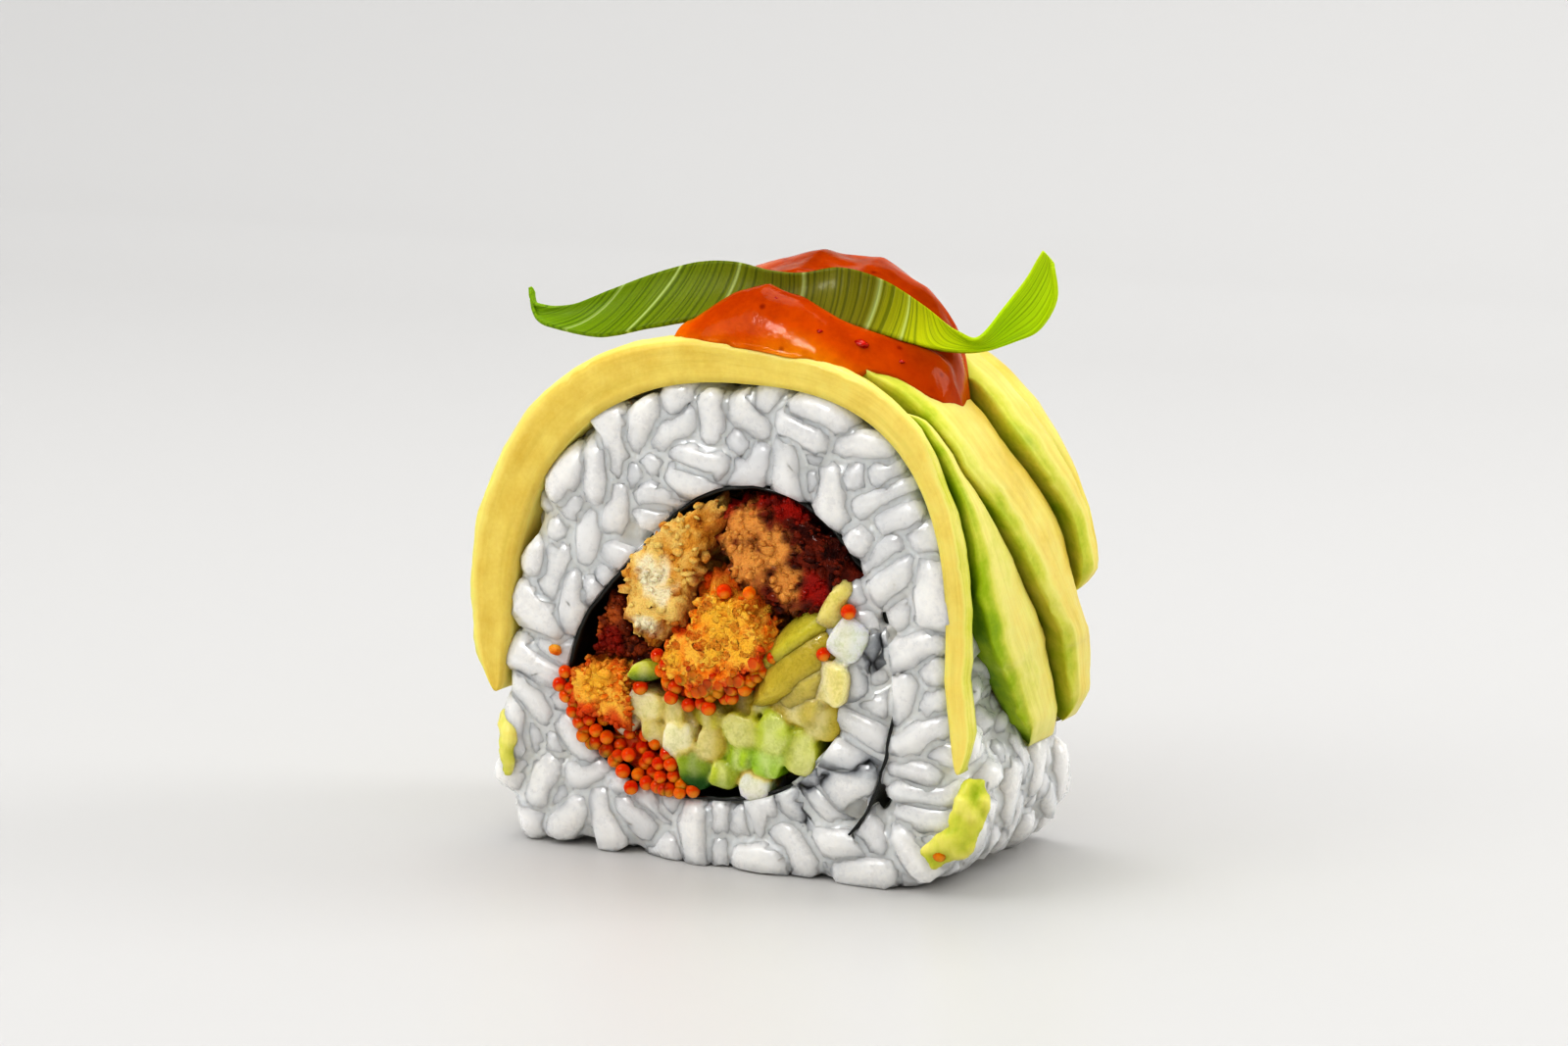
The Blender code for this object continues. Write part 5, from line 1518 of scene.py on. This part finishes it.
# The squeezed-out ends of avocado
# Two soft ends of the slices, mashed onto the front edges of the rice when the roll was pressed. They are
# the same flesh as the slices, lumpy and a little greener, and stick where they were pushed.
SMEAR_GREENS = {"avocado_tip": 0.6, "avocado_smear": 0.54}
SMEAR_VOXEL = 0.22 * MM
SMEAR_SWELL = 0.2
for number, name in enumerate(SMEAR_GREENS):
    start = own_copy(name, name + "_start")
    keep(start, "REMESH", mode="VOXEL", voxel_size=SMEAR_VOXEL)
    smear_points, smear_normals, smear_faces = read_mesh(start)
    bpy.data.objects.remove(start)
    mash = np.array([0.5 * wave(p, 1.6 * MM, 21) + 0.15 * wave(p, 0.7 * MM, 22) for p in smear_points])
    smear_points = smear_points + smear_normals * ((mash + SMEAR_SWELL) * MM)[:, None]
    smear_marks = {
        "green": np.clip(SMEAR_GREENS[name] - 0.5 * mash, 0, 1),
        "along": smear_points[:, 2],
        "across": smear_points[:, 0],
    }
    mashed_end = piece_from(name + "_mash", smear_points, smear_faces, smear_marks, avocado_flesh)
    put(mashed_end, name, slot="avocado")

# The sauce
# A spoonful of thick, sweet chilli sauce that was poured over the slices and has run down to the right,
# with the leek ribbon lying across it. It is glossy and translucent, with flecks of chilli in it.


def sauce_finish():
    """Chilli sauce: orange where it is thin, red-brown where it is thick, under a wet skin."""
    finish, tree, shader = principled(
        "chilli_sauce",
        0.14,
        subsurface_weight=0.35,
        subsurface_scale=0.0014,
        coat_weight=0.07,
        coat_roughness=0.05,
        specular_ior_level=0.08,
    )
    shader.inputs["Subsurface Radius"].default_value = (1.0, 0.4, 0.05)
    spots = place_mottle(tree, 260.0, 1500.0, 0.3)
    flecks = add_node(tree, "ShaderNodeTexVoronoi", values={"Scale": 420.0, "Randomness": 1.0})
    where = add_node(tree, "ShaderNodeTexCoord")
    tree.links.new(where.outputs["Object"], flecks.inputs["Vector"])
    body = ramp(
        tree,
        attribute(tree, "thick"),
        (
            (0.0, paint(226, 138, 8)),
            (0.35, paint(202, 88, 0)),
            (0.7, paint(178, 70, 0)),
            (1.0, paint(134, 58, 2)),
        ),
    )
    cloudy = ramp(tree, spots.outputs["Mask"], ((0.36, (0.74, 0.6, 0.5)), (0.58, (1, 1, 1))))
    colour = blend_colour(tree, 0.8, body, cloudy, "MULTIPLY")
    fleck_mask = add_node(tree, "ShaderNodeMapRange", values={"From Min": 0.16, "From Max": 0.05})
    tree.links.new(flecks.outputs["Distance"], fleck_mask.inputs["Value"])
    colour = blend_colour(tree, scaled(tree, fleck_mask.outputs["Result"], 0.7), colour, paint(120, 24, 4))
    tree.links.new(colour, shader.inputs["Base Color"])
    bump(tree, shader, spots.outputs["Mask"], 0.25, 0.0006)
    return finish


def under_height(x, y):
    """The height of the avocado below a place."""
    y = max(y, -11.7 * MM)
    hits = [tree.ray_cast(Vector((x, y, 0.08)), Vector((0, 0, -1)))[0] for tree in slice_trees]
    return max((hit.z for hit in hits if hit is not None), default=0.040)


def table(pairs, value):
    """A height or an edge read off pairs of numbers, straight from each pair to the next."""
    return float(np.interp(value, *zip(*pairs)))


view = bpy.context.evaluated_depsgraph_get()
slice_trees = [BVHTree.FromObject(bpy.data.objects[name + "_slice"], view) for name in SLICES]
SAUCE_LEFT = -6.4
SAUCE_RIGHT = 19.9
# The front and the back edge of the sauce as X and Y in millimetres, then its two ridges and the valley
# under the leek as X and Z
SAUCE_FRONT = (
    ((SAUCE_LEFT, -7.0), (-6.0, -9.2), (-4.9, -11.2), (-1.8, -11.9), (4.8, -12.1), (10.0, -11.8))
    + ((12.6, -10.6), (14.6, -8.9), (16.6, -7.8), (18.2, -7.0), (19.4, -5.8), (SAUCE_RIGHT, -3.0))
)
SAUCE_BACK = (
    ((SAUCE_LEFT, -6.6), (-5.4, 2.2), (-3.0, 5.8), (1.0, 7.6), (8.0, 8.3), (13.0, 7.4))
    + ((16.4, 4.8), (18.6, 1.6), (SAUCE_RIGHT, -2.6))
)
SAUCE_RIDGE_FRONT = (
    ((SAUCE_LEFT, 49.0), (-4.4, 50.2), (-0.4, 52.7), (3.1, 53.8), (6.6, 52.6), (11.5, 50.2))
    + ((16, 48.6), (SAUCE_RIGHT, 46.6))
)
SAUCE_VALLEY = ((SAUCE_LEFT, 48.6), (2.0, 50.4), (9.0, 50.2), (15.6, 48.4), (SAUCE_RIGHT, 46.0))
SAUCE_RIDGE_BACK = (
    ((SAUCE_LEFT, 50.6), (-3.3, 54.0), (3.3, 55.5), (8.4, 54.9), (13.3, 52.8), (16.8, 50.4))
    + ((19.6, 48.2), (SAUCE_RIGHT, 46.2))
)
SAUCE_ROWS = 110
SAUCE_COLUMNS = 72
SAUCE_SETTLINGS = 5
SAUCE_SINK = 0.2 * MM
sauce_x = (SAUCE_RIGHT - SAUCE_LEFT) / 2 * -np.cos(np.linspace(0, math.pi, SAUCE_ROWS))
sauce_x += (SAUCE_RIGHT + SAUCE_LEFT) / 2
sauce_t = 0.5 - 0.5 * np.cos(np.linspace(0, math.pi, SAUCE_COLUMNS))
sauce_plan = np.zeros((SAUCE_ROWS, SAUCE_COLUMNS, 3))
for i, x in enumerate(sauce_x):
    start, stop = table(SAUCE_FRONT, x), table(SAUCE_BACK, x)
    for j, t in enumerate(sauce_t):
        y = start + (stop - start) * t
        y += 0.35 * noise.noise(Vector((x / 2.4, t * 2, 3.3))) * (1 - t)
        sauce_plan[i, j] = (x * MM, y * MM, under_height(x * MM, y * MM))
for _ in range(SAUCE_SETTLINGS):
    # The sauce bridges the seams between the slices.
    low = sauce_plan[..., 2]
    spread = np.pad(low, 1, mode="edge")
    around = (spread[2:, 1:-1] + spread[:-2, 1:-1] + spread[1:-1, 2:] + spread[1:-1, :-2]) / 4
    sauce_plan[..., 2] = np.maximum(low, around * 0.7 + low * 0.3)
sauce_top = sauce_plan.copy()
sauce_thick = np.zeros(sauce_plan.shape[:2])
for i, x in enumerate(sauce_x):
    start, stop = table(SAUCE_FRONT, x), table(SAUCE_BACK, x)
    end = min(x - SAUCE_LEFT, SAUCE_RIGHT - x)
    end_rise = math.sqrt(max(0, 1 - (1 - min(1, end / 2.2)) ** 2))
    ridge = start + min(4.0, 0.36 * (stop - start))
    back_ridge = table(SAUCE_RIDGE_BACK, x)
    crest = ((ridge, table(SAUCE_RIDGE_FRONT, x)), (ridge + 1.4, table(SAUCE_VALLEY, x)))
    crest += ((ridge + 4.4, back_ridge - 1.0), (max(ridge + 7.2, 1.2), back_ridge))
    for j in range(SAUCE_COLUMNS):
        y, low = sauce_plan[i, j, 1] / MM, sauce_plan[i, j, 2] / MM
        inward = min((y - start) / 3.9, (stop - y) / 4.6)
        rise = max(0, 1 - (1 - min(1, max(0, inward))) ** 1.9) ** 0.72
        full = max(table(crest, y) - low, 1.5)
        body = full * rise * end_rise
        point = sauce_plan[i, j]
        body *= 1 + 0.07 * wave(point, 4.2 * MM, 31) + 0.015 * wave(point, 1.8 * MM, 32)
        sauce_top[i, j, 2] += body * MM
        thick = 0.12 + body / 8.0 + 0.5 * smooth_step(11, 18, x) - 0.3 * smooth_step(-3, 1, y)
        sauce_thick[i, j] = min(1, thick + 0.3 * wave(point, 5 * MM, 33))
sauce_plan[..., 2] -= SAUCE_SINK
sauce = slab("chilli_sauce", sauce_top, sauce_plan, {"thick": np.clip(sauce_thick, 0, 1)}, sauce_finish())
put(sauce, "sauce", slot="sauce")

# Bits of chilli lie in the skin of the sauce. For each: its X and Y in millimetres and its size
CHILLI_BITS = ((12.8, -8.9, 0.95), (9.4, -10.4, 0.4), (4.6, -9.6, 0.3), (15.9, -7.2, 0.45))
CHILLI_FLATNESS = (0.9, 0.6, 0.5)
CHILLI_SINK = (0, 0, 0.1 * MM)


def chilli_finish():
    """Red chilli skin, blotched and wet."""
    finish, tree, shader = principled("chilli_red", 0.25, subsurface_weight=0.3, subsurface_scale=0.0006)
    spots = place_mottle(tree, 1400.0, 4200.0, 0.4)
    reds = ((0.35, paint(128, 8, 2)), (0.65, paint(206, 30, 6)))
    tree.links.new(ramp(tree, spots.outputs["Mask"], reds), shader.inputs["Base Color"])
    return finish


chilli_red = chilli_finish()
sauce_skin = BVHTree.FromObject(sauce, view)
for number, (x, y, size) in enumerate(CHILLI_BITS):
    spot = sauce_skin.ray_cast(Vector((x, y, 80)) * MM, Vector((0, 0, -1)))[0]
    bit_points, bit_faces = lump_shape(20 + number)
    bit_points = bit_points * np.array(CHILLI_FLATNESS) * size * MM + np.array(spot) - np.array(CHILLI_SINK)
    put(piece_from(f"chilli_bit_{number + 1}", bit_points, bit_faces, {}, chilli_red), "sauce", slot="sauce")

# The leek
# One ribbon of raw leek or spring-onion green, cut lengthwise and laid over the sauce, where it has
# curled into a wave. It is thin and ribbed by its veins and rests on the sauce and the avocado.
# Points of the ribbon's upper and lower edge, pair by pair from its left end, in millimetres
LEAF_EDGES = (
    ((-23.6, -5.6, 51.4), (-23.3, -5.9, 50.3)),
    ((-22.6, -6.2, 50.0), (-21.9, -6.8, 48.5)),
    ((-19.3, -5.6, 50.0), (-18.9, -7.2, 47.9)),
    ((-15.2, -5.0, 51.6), (-14.8, -7.4, 47.6)),
    ((-10.8, -4.6, 53.3), (-10.4, -7.4, 48.6)),
    ((-6.4, -4.3, 54.6), (-5.8, -7.0, 49.6)),
    ((-2.6, -4.4, 54.9), (-1.8, -6.8, 50.4)),
    ((1.4, -5.0, 54.4), (2.2, -6.7, 50.7)),
    ((4.8, -5.2, 54.4), (5.4, -6.9, 50.8)),
    ((8.4, -4.4, 55.0), (8.9, -7.2, 50.5)),
    ((12.2, -3.4, 54.0), (12.2, -6.4, 49.8)),
    ((15.8, -2.4, 51.8), (15.6, -4.9, 48.7)),
    ((18.4, -1.4, 49.6), (18.3, -2.8, 47.9)),
    ((20.2, -0.4, 48.8), (20.4, 0.4, 47.6)),
    ((22.2, 0.5, 51.4), (22.8, 2.2, 48.4)),
    ((24.2, 0.8, 54.0), (25.0, 2.4, 49.6)),
    ((25.6, 0.6, 56.2), (26.8, 1.8, 52.4)),
    ((26.2, 0.4, 57.0), (26.9, 1.0, 55.4)),
)
LEAF_THICKNESS = 0.36 * MM
LEAF_HOLLOW = 0.5 * MM
LEAF_ROWS = 190
LEAF_COLUMNS = 17
MAIN_VEINS = (0.12, 0.215, 0.335, 0.47, 0.585, 0.64)


def leek_finish():
    """Leek green: dull olive in the middle and bright at both ends, ribbed by pale veins."""
    finish, tree, shader = principled(
        "leek_green",
        0.42,
        subsurface_weight=0.2,
        subsurface_scale=0.0008,
        coat_weight=0.08,
        coat_roughness=0.15,
        specular_ior_level=0.12,
    )
    shader.inputs["Subsurface Radius"].default_value = (0.7, 1.0, 0.2)
    phase = attribute(tree, "phase")
    fine = add_node(tree, "ShaderNodeTexNoise", noise_dimensions="1D", values={"Scale": 150.0, "Detail": 2.0})
    tree.links.new(phase, fine.inputs["W"])
    spots = place_mottle(tree, 500.0, 3000.0, 0.4)
    green = ramp(
        tree,
        attribute(tree, "along"),
        (
            (0.0, paint(136, 172, 10)),
            (0.12, paint(122, 152, 4)),
            (0.28, paint(116, 132, 4)),
            (0.42, paint(116, 118, 14)),
            (0.58, paint(122, 118, 10)),
            (0.66, paint(190, 196, 4)),
            (0.80, paint(184, 220, 4)),
            (1.0, paint(198, 222, 30)),
        ),
    )
    shades = ((0.36, (0.55, 0.6, 0.42)), (0.48, (0.9, 0.9, 0.8)), (0.6, (1.0, 1.0, 1.0)))
    lines = ramp(tree, fine.outputs["Fac"], shades)
    colour = blend_colour(tree, 0.9, green, lines, "MULTIPLY")
    stops = [(0.0, (0, 0, 0))]
    for place in MAIN_VEINS:
        stops += [(place - 0.004, (0, 0, 0)), (place, (1, 1, 1)), (place + 0.004, (0, 0, 0))]
    veins = ramp(tree, phase, stops)
    colour = blend_colour(tree, scaled(tree, veins, 0.62), colour, paint(206, 222, 150))
    tree.links.new(colour, shader.inputs["Base Color"])
    relief = blend_colour(tree, 0.25, fine.outputs["Fac"], spots.outputs["Height"])
    bump(tree, shader, relief, 0.5, 0.00025)
    return finish


upper_edge = np.array([pair[0] for pair in LEAF_EDGES]) * MM
lower_edge = np.array([pair[1] for pair in LEAF_EDGES]) * MM
leaf_shares = np.linspace(0, 1, LEAF_ROWS)
cross_shares = np.linspace(0, 1, LEAF_COLUMNS)
leaf = np.zeros((len(leaf_shares), len(cross_shares), 3))
leaf_along = np.zeros(leaf.shape[:2])
leaf_phase = np.zeros(leaf.shape[:2])
for i, share in enumerate(leaf_shares):
    above, below = through(upper_edge, share), through(lower_edge, share)
    for j, cross in enumerate(cross_shares):
        leaf[i, j] = below + (above - below) * cross
        leaf[i, j, 1] += LEAF_HOLLOW * 4 * cross * (1 - cross)
        slant = 0.085 * (1 - smooth_step(0.1, 0.55, share))
        lengthwise = smooth_step(0.60, 0.74, share)
        leaf_along[i, j] = share
        leaf_phase[i, j] = (share - slant * cross) * (1 - lengthwise) + (0.68 + 0.12 * cross) * lengthwise
leaf_run = np.gradient(leaf, axis=0)
leaf_rise = np.gradient(leaf, axis=1)
leaf_out = np.cross(leaf_run, leaf_rise)
leaf_out /= np.linalg.norm(leaf_out, axis=2, keepdims=True)
rib = np.zeros(leaf.shape[:2])
for i in range(leaf.shape[0]):
    for j in range(leaf.shape[1]):
        rib[i, j] = noise.noise(Vector((leaf_phase[i, j] * 60, 0, 0))) * 0.05
        rib[i, j] += wave(leaf[i, j], 3.5 * MM, 41) * 0.10
leaf_top = leaf + leaf_out * (rib * MM + LEAF_THICKNESS / 2)[..., None]
leaf_bottom = leaf + leaf_out * (rib * MM - LEAF_THICKNESS / 2)[..., None]
ribbon = slab("leek_ribbon", leaf_top, leaf_bottom, {"along": leaf_along, "phase": leaf_phase}, leek_finish())
put(ribbon, "leek_leaf", slot="leek")

# A loose crumb
# A single crumb of the golden batter that has stuck to the wet rice, to the left of the winding. It is as
# crisp and oily as the piece it broke from.
CRUMB_SIZE = 0.62 * MM
CRUMB_PLACE = np.array((-17.0, -12.5, 18.8)) * MM
crumb_points, crumb_faces = lump_shape(9)
crumb_points = crumb_points * CRUMB_SIZE + CRUMB_PLACE
# Painted light and shade: the crumb is coloured lighter on its top and darker underneath, by its height.
crumb_marks = {"crag": 0.5 + 0.3 * (crumb_points[:, 2] - CRUMB_PLACE[2]) / MM}
crumb_batter = batter_finish("crumb", *BATTER_COLOURS["batter_golden"])
crumb = piece_from("loose_crumb", crumb_points, crumb_faces, crumb_marks, crumb_batter)
put(crumb, "batter_corner", slot="batter")

# The end of the script
# Grains, eggs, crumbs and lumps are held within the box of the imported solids.
view.update()
for piece in bpy.data.objects:
    if piece.type == "MESH" and piece != floor and piece not in list(frame["nodes"].values()):
        for v in piece.data.vertices:
            v.co = [min(max(c, low), high) for c, low, high in zip(v.co, *cad_box)]
